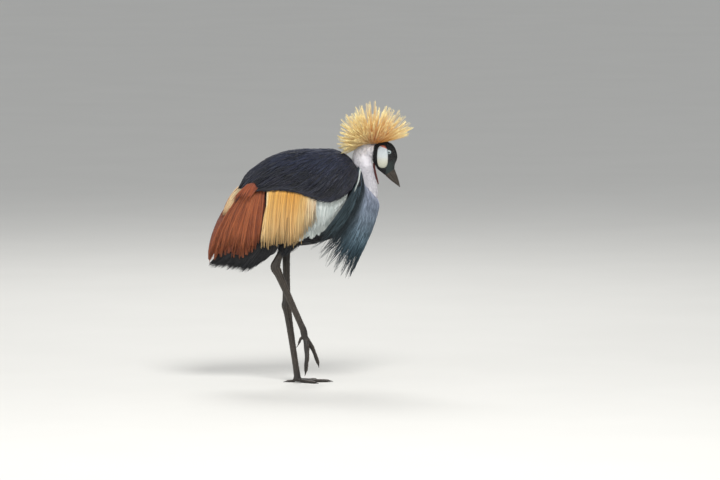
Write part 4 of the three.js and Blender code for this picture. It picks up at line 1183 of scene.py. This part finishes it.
reach = 84 + 38 * np.maximum(0, way[:, 2]) + 7 * way[:, 0]
long = reach * share * (0.97 + 0.05 * chance.random(count + short))
roots = CREST_PAD + way * np.array([22, 9, 0]) + np.array([0, 0, 2.5])
roots = roots + chance.normal(size=way.shape) * [1.5, 1.2, 0.6]
facing = unit(np.cross(way, chance.normal(size=way.shape)))
size = np.stack([long, BRISTLE_HALF + 0 * long, BRISTLE_HALF + 0 * long], axis=1)
bristle = unit_blade("bristle", BRISTLE, lambda t: 1 - 0.3 * t, 7)
for vertex in bristle.data.vertices:
    vertex.co.z += BRISTLE_WAVE * math.sin(2.2 * vertex.co.x) ** 2
crest_ramp = ramp([(-1, "#ecd09c"), (-0.35, "#efc684"), (0, "#ee9f3c"), (0.5, "#f0962c"), (1, "#eeb354")])
crest = plant("crest_bristles", bristle, (roots, way, facing, size), STRAW, neck_chart, crest_ramp(way[:, 0]))

# %% [markdown]
# ## The skin
# Under the feathers there is one skin, without a seam, from the rump to the bill. It is made from the
# same tables as closed tubes that run into each other, and remeshing melts them into a single surface.
# It lies a few millimetres inside the solids, as deep as the coat is thick.

# %% One skin
def melted(name, parts, voxel, rounds, material):
    """Closed ringed tubes, remeshed into one surface and smoothed."""
    flesh = bmesh.new()
    for rings in parts:
        rings = np.asarray(rings, float) * MM
        grid = [[flesh.verts.new(point) for point in ring] for ring in rings]
        for low, high in zip(grid, grid[1:]):
            for j in range(len(low)):
                flesh.faces.new((low[j - 1], low[j], high[j], high[j - 1]))
        flesh.faces.new(grid[0])
        flesh.faces.new(grid[-1][::-1])
    bmesh.ops.recalc_face_normals(flesh, faces=flesh.faces)
    mesh = bpy.data.meshes.new(name)
    flesh.to_mesh(mesh)
    flesh.free()
    piece = placed(name, mesh)
    melt = piece.modifiers.new("melt", "REMESH")
    melt.mode = "VOXEL"
    melt.voxel_size = voxel * MM
    smooth = piece.modifiers.new("smooth", "SMOOTH")
    smooth.iterations = rounds
    whole = applied(piece)
    whole.materials.clear()
    whole.materials.append(material)
    return piece


# %% [markdown]
# Skin, horn and scales share one kind of finish. One noise with a grain of a real size mixes two tones
# and raises the surface a little, and roughness tells moist skin from polished horn.

# %% Finishes of skin and horn
SKIN_RELIEF = 0.5 * MM


def plain_finish(name, low, high, grain, rough, relief, marked=False):
    """Two tones and a relief from one noise, whose grain is a real size in millimetres."""
    material, tree, shader = new_material(name)
    where = add(tree, "ShaderNodeTexCoord").outputs["Object"]
    noise = add(tree, "ShaderNodeTexNoise", {"Vector": where, "Scale": 1 / (grain * MM), "Detail": 4.0})
    colour = add(tree, "ShaderNodeMix", {"Factor": noise.outputs["Fac"], 6: linear(low), 7: linear(high)},
                 data_type="RGBA")
    if marked:
        marking = add(tree, "ShaderNodeAttribute", attribute_name="Marking").outputs["Color"]
        colour = add(tree, "ShaderNodeMix", {"Factor": 1.0, 6: marking, 7: colour.outputs[2]},
                     data_type="RGBA", blend_type="MULTIPLY")
    bump = add(tree, "ShaderNodeBump",
               {"Strength": relief, "Distance": SKIN_RELIEF, "Height": noise.outputs["Fac"]})
    tree.links.new(colour.outputs[2], shader.inputs["Base Color"])
    tree.links.new(bump.outputs[0], shader.inputs["Normal"])
    shader.inputs["Roughness"].default_value = rough
    return material


# Soft living skin: matt and faintly pebbled, in the colours that are painted on it.
SKIN = plain_finish("living_skin", "#cfcfcf", "#ffffff", grain=3, rough=0.55, relief=0.35, marked=True)
print("finishes so far:", len(bpy.data.materials))

# %% [markdown]
# The skin lies below the body's, the neck's and the head's own surfaces by as much as the coat is deep,
# and the thighs run up into the body.

# %% The skin
COAT_DEPTH = {"torso": 3.0, "neck": 1.5, "head": 0.6, "thigh": 2.5}
turns = np.linspace(0, 2 * math.pi, 48, endpoint=False)[None, :]
parts = [
    on_body(np.linspace(-165, 212, 50)[:, None], turns, -COAT_DEPTH["torso"]),
    on_neck(np.linspace(0, 10, 44)[:, None], turns, -COAT_DEPTH["neck"]),
    on_head(np.linspace(-37, 50, 50)[:, None], turns, -COAT_DEPTH["head"]),
]
for stops in THIGHS.values():
    stops = np.array(stops, float)
    stops[:, 3:] -= COAT_DEPTH["thigh"]
    parts.append(tube_rings(stops))
skin = melted("skin", parts, voxel=2.4, rounds=4, material=SKIN)
print("skin:", len(skin.data.polygons), "faces")

# %% [markdown]
# The head is divided finer than the rest, so that the skin itself can carry the raised cheek, the lid
# round the eye and the hollow that the eye lies in.

# %% The shape of the face
def mesh_points(mesh):
    points = np.zeros(len(mesh.vertices) * 3, np.float32)
    mesh.vertices.foreach_get("co", points)
    return points.reshape(-1, 3).astype(float) / MM


def move_points(mesh, points):
    mesh.vertices.foreach_set("co", (points * MM).astype(np.float32).reshape(-1))


def finer(mesh, inside, cuts=1):
    work = bmesh.new()
    work.from_mesh(mesh)
    edges = [e for e in work.edges if all(inside(v.co) for v in e.verts)]
    bmesh.ops.subdivide_edges(work, edges=edges, cuts=cuts, use_grid_fill=True)
    work.to_mesh(mesh)
    work.free()


finer(skin.data, lambda p: p.x > 0.222 and p.z > 0.608)
points = mesh_points(skin.data)
normals = np.zeros(len(points) * 3, np.float32)
skin.data.vertices.foreach_get("normal", normals)
normals = normals.reshape(-1, 3).astype(float)
face = (points[:, 0] > 222) & (points[:, 2] > 608)
share = cheek_share(points)
on_side = face & (np.abs(points[:, 1]) > 8)
raised = 2.0 * (1 - eased(share, 0.88, 1.05)) - 0.5 * np.exp(-((share - 1.08) / 0.05) ** 2)
raised = np.where(on_side, raised, 0)
pillow = 0.5 * np.exp(-(((points[:, 0] - 243) / 9) ** 2 + ((points[:, 2] - 634) / 14) ** 2))
pillow = np.where(on_side, pillow, 0)
eye_far = from_eye(points)
lid = np.where(on_side, 1.7 * np.exp(-((eye_far - 6.6) / 1.3) ** 2) - 2.2 * (1 - eased(eye_far, 3.5, 5.6)), 0)
points = points + normals * (raised * eased(eye_far, 4, 7) + pillow + lid)[:, None]
move_points(skin.data, points)
print("the cheek stands out by", round(float(raised.max()), 1), "mm")

# %% [markdown]
# Skin and feathers wear the same colours on the neck, the breast and the head and under the dark
# mantle and body feathers, so a gap there shows more of the same. Under the gold, white and chestnut
# plumes the skin is just as dark, a painted shade in the gaps between them. Only the cheek, its red
# upper rim, the lores in front of the eye and the ring round it are bare.

# %% The skin's markings
x, z = points[:, 0], points[:, 2]
colour = neck_ramp(z)
# The body's skin is dark below the collar and behind the neck: the colour of the dark tracts above it, and
# painted shade under the pale ones.
colour[(z < collar(x)) | (x < 183)] = paint("#15191f")
breast = (z < collar(x)) & (x > 214)
colour[breast] = paint("#8b97ad")
ahead = (points - HEAD_AT) @ FORWARD
head = (ahead > -37) & (z > 590) & ~is_pale_neck(points)
colour[head] = paint("#0a0a0d")
cheek_ramp = ramp([(618, "#cfd0bc"), (634, "#d8d8c8"), (650, "#d3dadb"), (668, "#c9d2d8")])
bare = head & (share < 1.02) & (np.abs(points[:, 1]) > 8)
# Painted shade: the bare cheek grows darker towards its edge, where it curves down into the velvet.
colour[bare] = cheek_ramp(z)[bare] * (1 - 0.22 * eased(share, 0.8, 1.0))[bare][:, None]
red = bare & (z > 673.5 - 0.4 * (x - 246))
colour[red] = paint("#b8654f")
lores = head & ~bare & (ahead > 20 + 0.2 * np.abs(points[:, 1])) & (x < 278)
colour[lores] = paint("#1c2b2a")
around_eye = head & ~bare & (eye_far < 9)
colour[around_eye] = paint("#1d2729")
set_marking(skin.data, colour)
smoothed(skin.data)
print("skin:", triangles(skin), "triangles")

# %% [markdown]
# ## The eyes
# An eye is a wet ball with a pale blue iris and a round pupil. The ball is turned about the bird's side
# axis, and each point knows how far it lies from the middle of the pupil, which is all that the
# colours need. A clear coat over it gives the one sharp highlight on the whole bird.

# %% Eyes
PUPIL, PUPIL_SOFT = 0.3, 0.36
RIM_FROM, RIM_TO = 0.86, 0.98


def eye_finish():
    material, tree, shader = new_material("wet_eye")
    ring = add(tree, "ShaderNodeAttribute", attribute_name="Ring").outputs["Fac"]
    where = add(tree, "ShaderNodeTexCoord").outputs["Object"]
    spokes = add(tree, "ShaderNodeTexNoise", {"Vector": where, "Scale": 1 / (0.9 * MM), "Detail": 2.0})
    iris = add(tree, "ShaderNodeMix",
               {"Factor": spokes.outputs["Fac"], 6: linear("#7f9298"), 7: linear("#b4c0c0")},
               data_type="RGBA")
    pupil = add(tree, "ShaderNodeMapRange", {"Value": ring, "From Min": PUPIL, "From Max": PUPIL_SOFT})
    rim = add(tree, "ShaderNodeMapRange", {"Value": ring, "From Min": RIM_FROM, "From Max": RIM_TO})
    inner = add(tree, "ShaderNodeMix", {"Factor": pupil.outputs[0], 6: linear("#050506"), 7: iris.outputs[2]},
                data_type="RGBA")
    whole = add(tree, "ShaderNodeMix", {"Factor": rim.outputs[0], 6: inner.outputs[2], 7: linear("#15171a")},
                data_type="RGBA")
    tree.links.new(whole.outputs[2], shader.inputs["Base Color"])
    shader.inputs["Roughness"].default_value = 0.12
    shader.inputs["Coat Weight"].default_value = 1.0
    shader.inputs["Coat Roughness"].default_value = 0.03
    return material


# A living cornea under a film of tears: a sharp small highlight over a pale blue iris.
EYE = eye_finish()
EYE_RINGS, EYE_SIDES = 24, 32
eyes = {}
for side, name in ((1, "left"), (-1, "right")):
    away = np.linspace(0, math.pi, EYE_RINGS + 2)[1:-1, None]
    round_it = np.linspace(0, 2 * math.pi, EYE_SIDES, endpoint=False)[None, :]
    radius = (EYE_RADIUS - 0.1) * (1 + 0.035 * np.exp(-(away / 0.5) ** 2))
    ball = stack(radius * np.sin(away) * np.cos(round_it), side * radius * np.cos(away) + 0 * round_it,
                 radius * np.sin(away) * np.sin(round_it)).reshape(-1, 3)
    centre = EYE_AT * np.array([1, side, 1])
    quads, caps = blade_faces(1, EYE_RINGS, EYE_SIDES)
    if side < 0:
        quads, caps = quads[:, ::-1], caps[:, ::-1]
    ring = np.repeat(away[:, 0], EYE_SIDES)
    eyes[name] = piece_of(f"eye_{name}_wet", ball + centre, [quads, caps], EYE, values={"Ring": ring})
print("eyes:", list(eyes))

# %% [markdown]
# ## The bill
# The bill is horn grown in one sheath over each jaw. The two jaws are cut from one long form along the
# mouth, and the cut follows the form's own section, so they close with only a hair's gap between them.
# A shallow slot on each side of the upper jaw is the nostril.

# %% Bill
# Rows of how far forward, upper edge, lower edge and half width, in the head's own directions.
BILL = [
    (42, 2.5, -30.5, 10), (50, 1, -30.5, 9.4), (60, -1.5, -28.8, 7.8), (72, -4.5, -25.6, 6),
    (84, -8.5, -21.6, 4.2), (94, -12.4, -18.4, 2.4), (100, -15.2, -16.8, 1),
]
bill_top, bill_bottom, bill_half = (through(BILL, k) for k in (1, 2, 3))
MOUTH = -16.2
MOUTH_GAP = 0.15
NOSTRIL_AT, NOSTRIL_UP, NOSTRIL_DEPTH = 61, -9, 0.28
# Horn, grown in layers and polished by use: dark, with a low gloss and brownish clouds, which are partly the
# horn's own tone and partly a painted highlight.
BILL_HORN = plain_finish("grown_bill_horn", "#14110e", "#4a4036", grain=7, rough=0.32, relief=0.15)


def jaw(name, sign):
    """The upper jaw for a sign of 1, and the lower one for -1."""
    forward = np.linspace(42.5, 100, 46)[:, None]
    middle = (bill_top(forward) + bill_bottom(forward)) / 2
    tall = (bill_top(forward) - bill_bottom(forward)) / 2
    corner = np.arccos(np.clip(sign * (MOUTH + MOUTH_GAP * sign - middle) / tall, -0.98, 0.98))
    a = np.linspace(-1, 1, 23)[None, :] * corner
    side = bill_half(forward) * np.sin(a)
    up = middle + sign * tall * np.cos(a)
    slot = np.exp(-((forward - NOSTRIL_AT) / 4.5) ** 2 - ((up - NOSTRIL_UP) / 1.5) ** 2) * (sign > 0)
    side = side * (1 - NOSTRIL_DEPTH * slot)
    rings = in_head(forward + 0 * a, side, up)
    n, k = rings.shape[:2]
    quads, caps = blade_faces(1, n, k)
    if sign > 0:
        quads, caps = quads[:, ::-1], caps[:, ::-1]
    return piece_of(name, rings.reshape(-1, 3), [quads, caps], BILL_HORN)


upper_jaw, lower_jaw = jaw("bill_upper_horn", 1), jaw("bill_lower_horn", -1)
print("bill:", triangles(upper_jaw) + triangles(lower_jaw), "triangles")

# %% [markdown]
# ## Legs and feet
# The legs are bare and scaled: broad scutes down the front and over the toes, and small ones elsewhere.
# Each leg is one skin from the feathered thigh to the toes, melted from tubes. A tube is a list of stops,
# each with a half width and a half depth, and a smooth line runs through them.

# %% Legs
# Dry horny skin: nearly black, a little glossy, with fine creases; its paler mottling is partly the skin's
# own tone and partly a painted highlight.
LEG = plain_finish("leg_skin_keratin", "#110e0c", "#362f28", grain=5, rough=0.42, relief=0.5)
LEG_POINTS = {
    "left": {"knee": (-31, 28, 384), "heel": (-30, 13, 220), "ankle": (0, 0, 21), "bulge": 0},
    "right": {"knee": (-36, -37, 388), "heel": (-61, -40, 333), "ankle": (19, -36, 152), "bulge": -3},
}
STANDING_TOES = [("middle", 3, 90, 6.4), ("inner", -37, 64, 6), ("outer", 41, 70, 6), ("hind", 173, 27, 4.8)]
RAISED_BALL = np.array([22.0, -36, 139])
RAISED_TOES = [("middle", (25, -36, 36), 7.8), ("inner", (60, -18, 56), 7.4), ("outer", (29, -58, 64), 7.4),
               ("hind", (6, -35, 116), 5)]


def curved(stops, t):
    """Points along a smooth line through evenly spaced stops."""
    stops = np.array(stops, float)
    at, share = spline(t, len(stops))
    return sum(w[..., None] * stops[i] for i, w in zip(at, share))


def leg_stops(knee, heel, ankle, bulge):
    """One smooth way from the knee round the heel to the ankle, with its half widths and depths."""
    knee, heel, ankle = (np.array(p, float) for p in (knee, heel, ankle))
    down, on = unit(heel - knee), unit(ankle - heel)
    back = np.array([bulge, 0, 0])
    way = [knee, mix(knee, heel, 0.45) + back, heel - 20 * down + back, heel, heel + 24 * on,
           mix(heel, ankle, 0.5), ankle]
    stop = np.linspace(0, 6, 49)
    wide = through([(0, 10), (1, 8), (2, 9), (3, 10.2), (4, 8.4), (5, 7), (5.6, 7), (6, 8.6)])
    deep = through([(0, 12.5), (1, 10), (2, 11.5), (3, 14.2), (4, 11), (5, 9), (5.6, 8.6), (6, 9.6)])
    return np.concatenate([curved(way, stop / 6), wide(stop)[:, None], deep(stop)[:, None]], axis=1)


def toe_stops(way, thick, steps=24):
    """A toe that narrows to its claw, with the pads of its joints as slight swellings."""
    t = np.linspace(0, 1, steps)
    points = curved(way, t)
    radius = thick * mix(1, 0.68, t) * (0.98 + 0.08 * np.cos(2 * math.pi * t * 2.5))
    return np.concatenate([points, radius[:, None], 0.94 * radius[:, None]], axis=1)


print("stops down a leg:", len(leg_stops(**LEG_POINTS["left"])))

# %% [markdown]
# The standing toes lie flat on the floor, spread as the species spreads them, and the lifted ones hang.
# Pads join them at the ankle. The melted sole is pressed flat, so that it rests on the floor.

# %% Toes and pads
toe_ways = {"left": {}, "right": {}}
for label, degrees, length, thick in STANDING_TOES:
    heading = np.array([math.cos(math.radians(degrees)), math.sin(math.radians(degrees)), 0]) * length
    rise = [(0.04, 8), (0.35, thick * 0.85), (0.7, thick * 0.66), (1, thick * 0.52)]
    toe_ways["left"][label] = ([heading * s + np.array([0, 0, h]) for s, h in rise], thick)
for label, tip, thick in RAISED_TOES:
    tip = np.array(tip, float)
    bend = mix(RAISED_BALL, tip, 0.5) + np.array([-3.0 if label == "hind" else 4.0, 0, 0])
    toe_ways["right"][label] = ([RAISED_BALL, bend, tip], thick)
pads = {"left": [(0, 0, 26, 8, 9), (0.5, 0, 16, 9.5, 10), (0.5, 0, 9, 11, 12), (0, 0, 2.5, 9, 10)],
        "right": [(17, -36, 160, 8, 9), (19, -36, 150, 8.6, 10), (21, -36, 140, 9, 10), (23, -36, 128, 7, 8)]}
legs, leg_sheets = {}, {}
for side, at in LEG_POINTS.items():
    tubes = [leg_stops(**at), pads[side]] + [toe_stops(*toe) for toe in toe_ways[side].values()]
    leg = melted(f"leg_{side}_skin", [tube_rings(stops, 20) for stops in tubes], 1.3, 3, LEG)
    points = mesh_points(leg.data)
    points[:, 2] = np.maximum(points[:, 2], 0.0)
    move_points(leg.data, points)
    smoothed(leg.data)
    legs[side], leg_sheets[side] = leg, [tube_sheet(stops) for stops in tubes]
    print(leg.name, triangles(leg), "triangles")

# %% [markdown]
# A scute is a little shield, highest in the middle and turned down at its edges. Broad ones stand in one
# row down the front of the leg and one row on each toe, and small ones in seven rows round the rest.

# %% Scutes
# Thicker horn than the skin between, worn smooth and glossier; paler partly from wear and partly as a painted
# highlight.
SCUTE = plain_finish("leg_scute_keratin", "#1b1714", "#54493e", grain=4, rough=0.34, relief=0.3)
SCUTE_GRID = (4, 5)


def shield(name, wrap):
    """A shield one long and one in half width. Its sides turn down by the share called wrap."""
    rows, columns = SCUTE_GRID
    a, b = np.meshgrid(np.linspace(-1, 1, rows), np.linspace(-1, 1, columns), indexing="ij")
    dome = 0.16 * (1 - a**4) * (1 - b**4)
    top = stack(0.5 + 0.5 * a, b, dome - wrap * b**2)
    base = top - np.array([0, 0, 0.2])
    grid = np.arange(rows * columns).reshape(rows, columns)
    quads = np.stack([grid[:-1, :-1], grid[1:, :-1], grid[1:, 1:], grid[:-1, 1:]], axis=-1).reshape(-1, 4)
    rim = np.concatenate([grid[0], grid[1:, -1], grid[-1, -2::-1], grid[-2:0:-1, 0]])
    lower = rim + grid.size
    walls = np.stack([rim, np.roll(rim, -1), np.roll(lower, -1), lower], axis=1)
    faces = np.concatenate([quads, quads[:, ::-1] + grid.size, walls])
    places = np.concatenate([top.reshape(-1, 3), base.reshape(-1, 3)])
    uv = np.stack([places[:, 1] * 0.5 + 0.5, places[:, 0]], axis=1)
    piece = piece_of(name, places / MM, [faces], SCUTE, {"Vane": uv})
    piece.hide_render = True
    return piece


broad_shield, small_shield = shield("broad_shield", 0.42), shield("small_shield", 0.25)


def shields(sheet, stops, spacing, half, turns_at, low, high, up=-0.35):
    """Rows of shields down a tube, each spacing apart, facing the turns given."""
    stops = np.array(stops, float)
    reach = np.concatenate([[0], np.cumsum(np.linalg.norm(np.diff(stops[:, :3], axis=0), axis=1))])
    at = np.arange(low * reach[-1], high * reach[-1], spacing)
    parts = []
    for turn in turns_at:
        shift = 0.5 * spacing * (abs(turn - turns_at[0]) > 0.1)
        stop = np.interp(at + shift, reach, np.arange(len(stops)))
        parts.append(rooted(sheet, stop, turn + 0 * stop, 0.05, 0, spacing * 1.12, half, up, 0.05))
    return tuple(np.concatenate(group) for group in zip(*parts))


FRONT = math.pi / 2
SIDES = [FRONT + step for step in (0.95, -0.95, 1.6, -1.6, 2.3, -2.3, 3.1)]
scutes = []
for side, at in LEG_POINTS.items():
    sheets = leg_sheets[side]
    wide = [shields(sheets[0], leg_stops(**at), 5.4, 5.0, (FRONT,), 0.12, 0.98)]
    narrow = [shields(sheets[0], leg_stops(**at), 4.2, 2.6, SIDES, 0.1, 0.98)]
    for sheet, (label, (way, thick)) in zip(sheets[2:], toe_ways[side].items()):
        upper = -FRONT if label == "hind" else FRONT
        wide.append(shields(sheet, toe_stops(way, thick), 3.6, 0.72 * thick, (upper,), 0.14, 0.98))
    for label, shape, groups in (("front", broad_shield, wide), ("side", small_shield, narrow)):
        places = tuple(np.concatenate(group) for group in zip(*groups))
        scutes.append(plant(f"scutes_{label}_{side}", shape, places, SCUTE, body_chart))

# %% [markdown]
# ## Claws
# Each claw is a curved cone of horn that carries its toe's line on and bends down.

# %% Claws
CLAW_LENGTH = 13
# Horn worn blunt on the ground: dark, with brownish streaks and a low gloss.
CLAW_HORN = plain_finish("grown_claw_horn", "#0f0d0c", "#37302a", grain=3, rough=0.35, relief=0.2)


def tube_piece(name, stops, material, sides=16):
    rings = tube_rings(stops, sides)
    quads, caps = blade_faces(1, len(rings), sides)
    piece = piece_of(name, rings.reshape(-1, 3), [quads, caps], material)
    work = bmesh.new()
    work.from_mesh(piece.data)
    bmesh.ops.recalc_face_normals(work, faces=work.faces)
    work.to_mesh(piece.data)
    work.free()
    return piece


claws = {}
for side, ways in toe_ways.items():
    drop = np.array([0, 0, -1.2]) if side == "left" else np.array([-2.0, 0, -1.0])
    for label, (way, thick) in ways.items():
        heading = unit(way[-1] - way[-2])
        t = np.linspace(0, 1, 12)[:, None]
        centres = way[-1] + heading * (0.3 + CLAW_LENGTH * t) + drop * t**2
        radius = mix(thick * 0.5, 0.5, t**0.8)
        stops = np.concatenate([centres, radius * 0.85, radius], axis=1)
        stops[:, 2] = np.maximum(stops[:, 2], stops[:, 4])
        claws[f"claw_{side}_{label}"] = tube_piece(f"claw_{side}_{label}_horn", stops, CLAW_HORN)
print("claws:", len(claws))

# %% [markdown]
# ## Wattle
# A slim fold of bare red skin hangs from the throat, creased across along its whole length.

# %% Wattle
# Bare skin full of blood: red, slightly moist and finely creased, and painted darker, a painted shade,
# because it hangs in the shade under the throat.
WATTLE = plain_finish("wattle_skin", "#340d0a", "#62201a", grain=3, rough=0.45, relief=0.5)
wattle_way = [(219, 0, 628, 3, 3), (220.5, 0, 612, 3.6, 3.2), (224.5, 0, 594, 4, 3), (229, 0, 578, 3.4, 2.4),
              (232, 0, 567, 1.4, 1.2)]
t = np.linspace(0, 1, 30)
stops = curved(wattle_way, t)
stops[:, 3:] *= (1 + 0.08 * np.sin(40 * t))[:, None]
wattle = tube_piece("wattle_fold", stops, WATTLE)
print("wattle:", triangles(wattle), "triangles")

# %% [markdown]
# ## What replaces what
# Each dressed piece stands for the solids of its own tract, which are hidden, and rides on the one body
# of a still model. Each is listed with the name of a material slot, which nothing here reads.

# %% Riding and replacing
sided = ("left", "right")
PLACES = [
    (skin, "bare_skin", ["torso", "neck_upper", "neck_lower", "head"]
     + [f"{part}_{side}" for part in ("thigh", "cheek") for side in sided]),
    (mantle, "mantle_feathers", ["mantle"]),
    (white, "white_feathers", ["wing_coverts_left", "wing_coverts_right"]),
    (gold, "gold_feathers", ["wing_plumes_left", "wing_plumes_right"]),
    (chestnut, "chestnut_feathers", ["wing_secondaries_left", "wing_secondaries_right"]),
    (black, "black_feathers", ["wing_primaries_left", "wing_primaries_right", "tail"]),
    (neck_coat, "neck_feathers", []),
    (head_coat, "head_feathers", []),
    (body_coat, "body_down", []),
    (crest, "crest_bristles", ["crest"]),
    (wattle, "wattle_skin", ["wattle"]),
    (upper_jaw, "bill_horn", ["bill_upper"]),
    (lower_jaw, "bill_horn", ["bill_lower"]),
]
LEG_NODES = ("shank", "tarsus", "foot")
PLACES += [(hackles[side], "neck_plumes", [f"hackles_{side}"]) for side in sided]
PLACES += [(eyes[side], "eye", [f"eye_{side}"]) for side in sided]
PLACES += [(legs[side], "leg_scutes", [f"{part}_{side}" for part in LEG_NODES]) for side in sided]
PLACES += [(piece, "leg_scutes", []) for piece in scutes]
PLACES += [(piece, "claw_horn", [name]) for name, piece in claws.items()]
for piece, slot, nodes in PLACES:
    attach(piece, "root")
    if nodes:
        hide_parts(*nodes)
for shape in (short_blade, bristle, broad_shield, small_shield):
    bpy.data.objects.remove(shape)
print("pieces:", len(PLACES), "triangles:", sum(triangles(piece) for piece, _, _ in PLACES))

# %% [markdown]
# ## Floor, light and camera
# The bird stands on a plain pale floor in soft light from above, and the camera looks at its right side
# from a little above, from far away through a long lens, as the photograph was taken.

# %% Stage
FLOOR = 60
floor_mesh = bpy.data.meshes.new("floor")
corners = [(x * FLOOR, y * FLOOR, 0) for x, y in ((-1, -1), (1, -1), (1, 1), (-1, 1))]
floor_mesh.from_pydata(corners, [], [(0, 1, 2, 3)])
floor = placed("floor", floor_mesh)
# Studio board, painted matt: pale and even, so that it sends soft light up under the bird.
PALE_BOARD = plain_finish("pale_floor", "#d8d6d0", "#dedcd6", grain=400, rough=0.85, relief=0.0)
floor_mesh.materials.append(PALE_BOARD)

world = bpy.data.worlds.new("soft_sky")
world.use_nodes = True
sky = world.node_tree.nodes["Background"]
sky.inputs["Color"].default_value = linear("#eef1f5")
sky.inputs["Strength"].default_value = 0.58
bpy.context.scene.world = world
bpy.context.scene.view_settings.view_transform = "Standard"


def turned_to(thing, target):
    thing.rotation_euler = (Vector(target) - thing.location).to_track_quat("-Z", "Y").to_euler()


def soft_light(name, place, size, power):
    light = bpy.data.lights.new(name, "AREA")
    light.shape = "DISK"
    light.size = size
    light.energy = power
    lamp = placed(name, light)
    lamp.location = place
    turned_to(lamp, (0, 0, 0.5))


soft_light("key", (0.8, -3.4, 4.4), 2.0, 205)
soft_light("fill", (-3.0, -2.6, 1.6), 2.5, 30)
soft_light("back", (-0.4, 3.2, 3.8), 2.0, 80)

lens = bpy.data.cameras.new("camera")
lens.lens = 400
lens.clip_end = 200
camera = placed("camera", lens)
camera.location = (0.18, -22.71, 2.39)
turned_to(camera, (0.1796, 0, 0.4076))
bpy.context.scene.camera = camera
print("camera:", round(-camera.location.y, 1), "m away, lens", lens.lens, "mm")
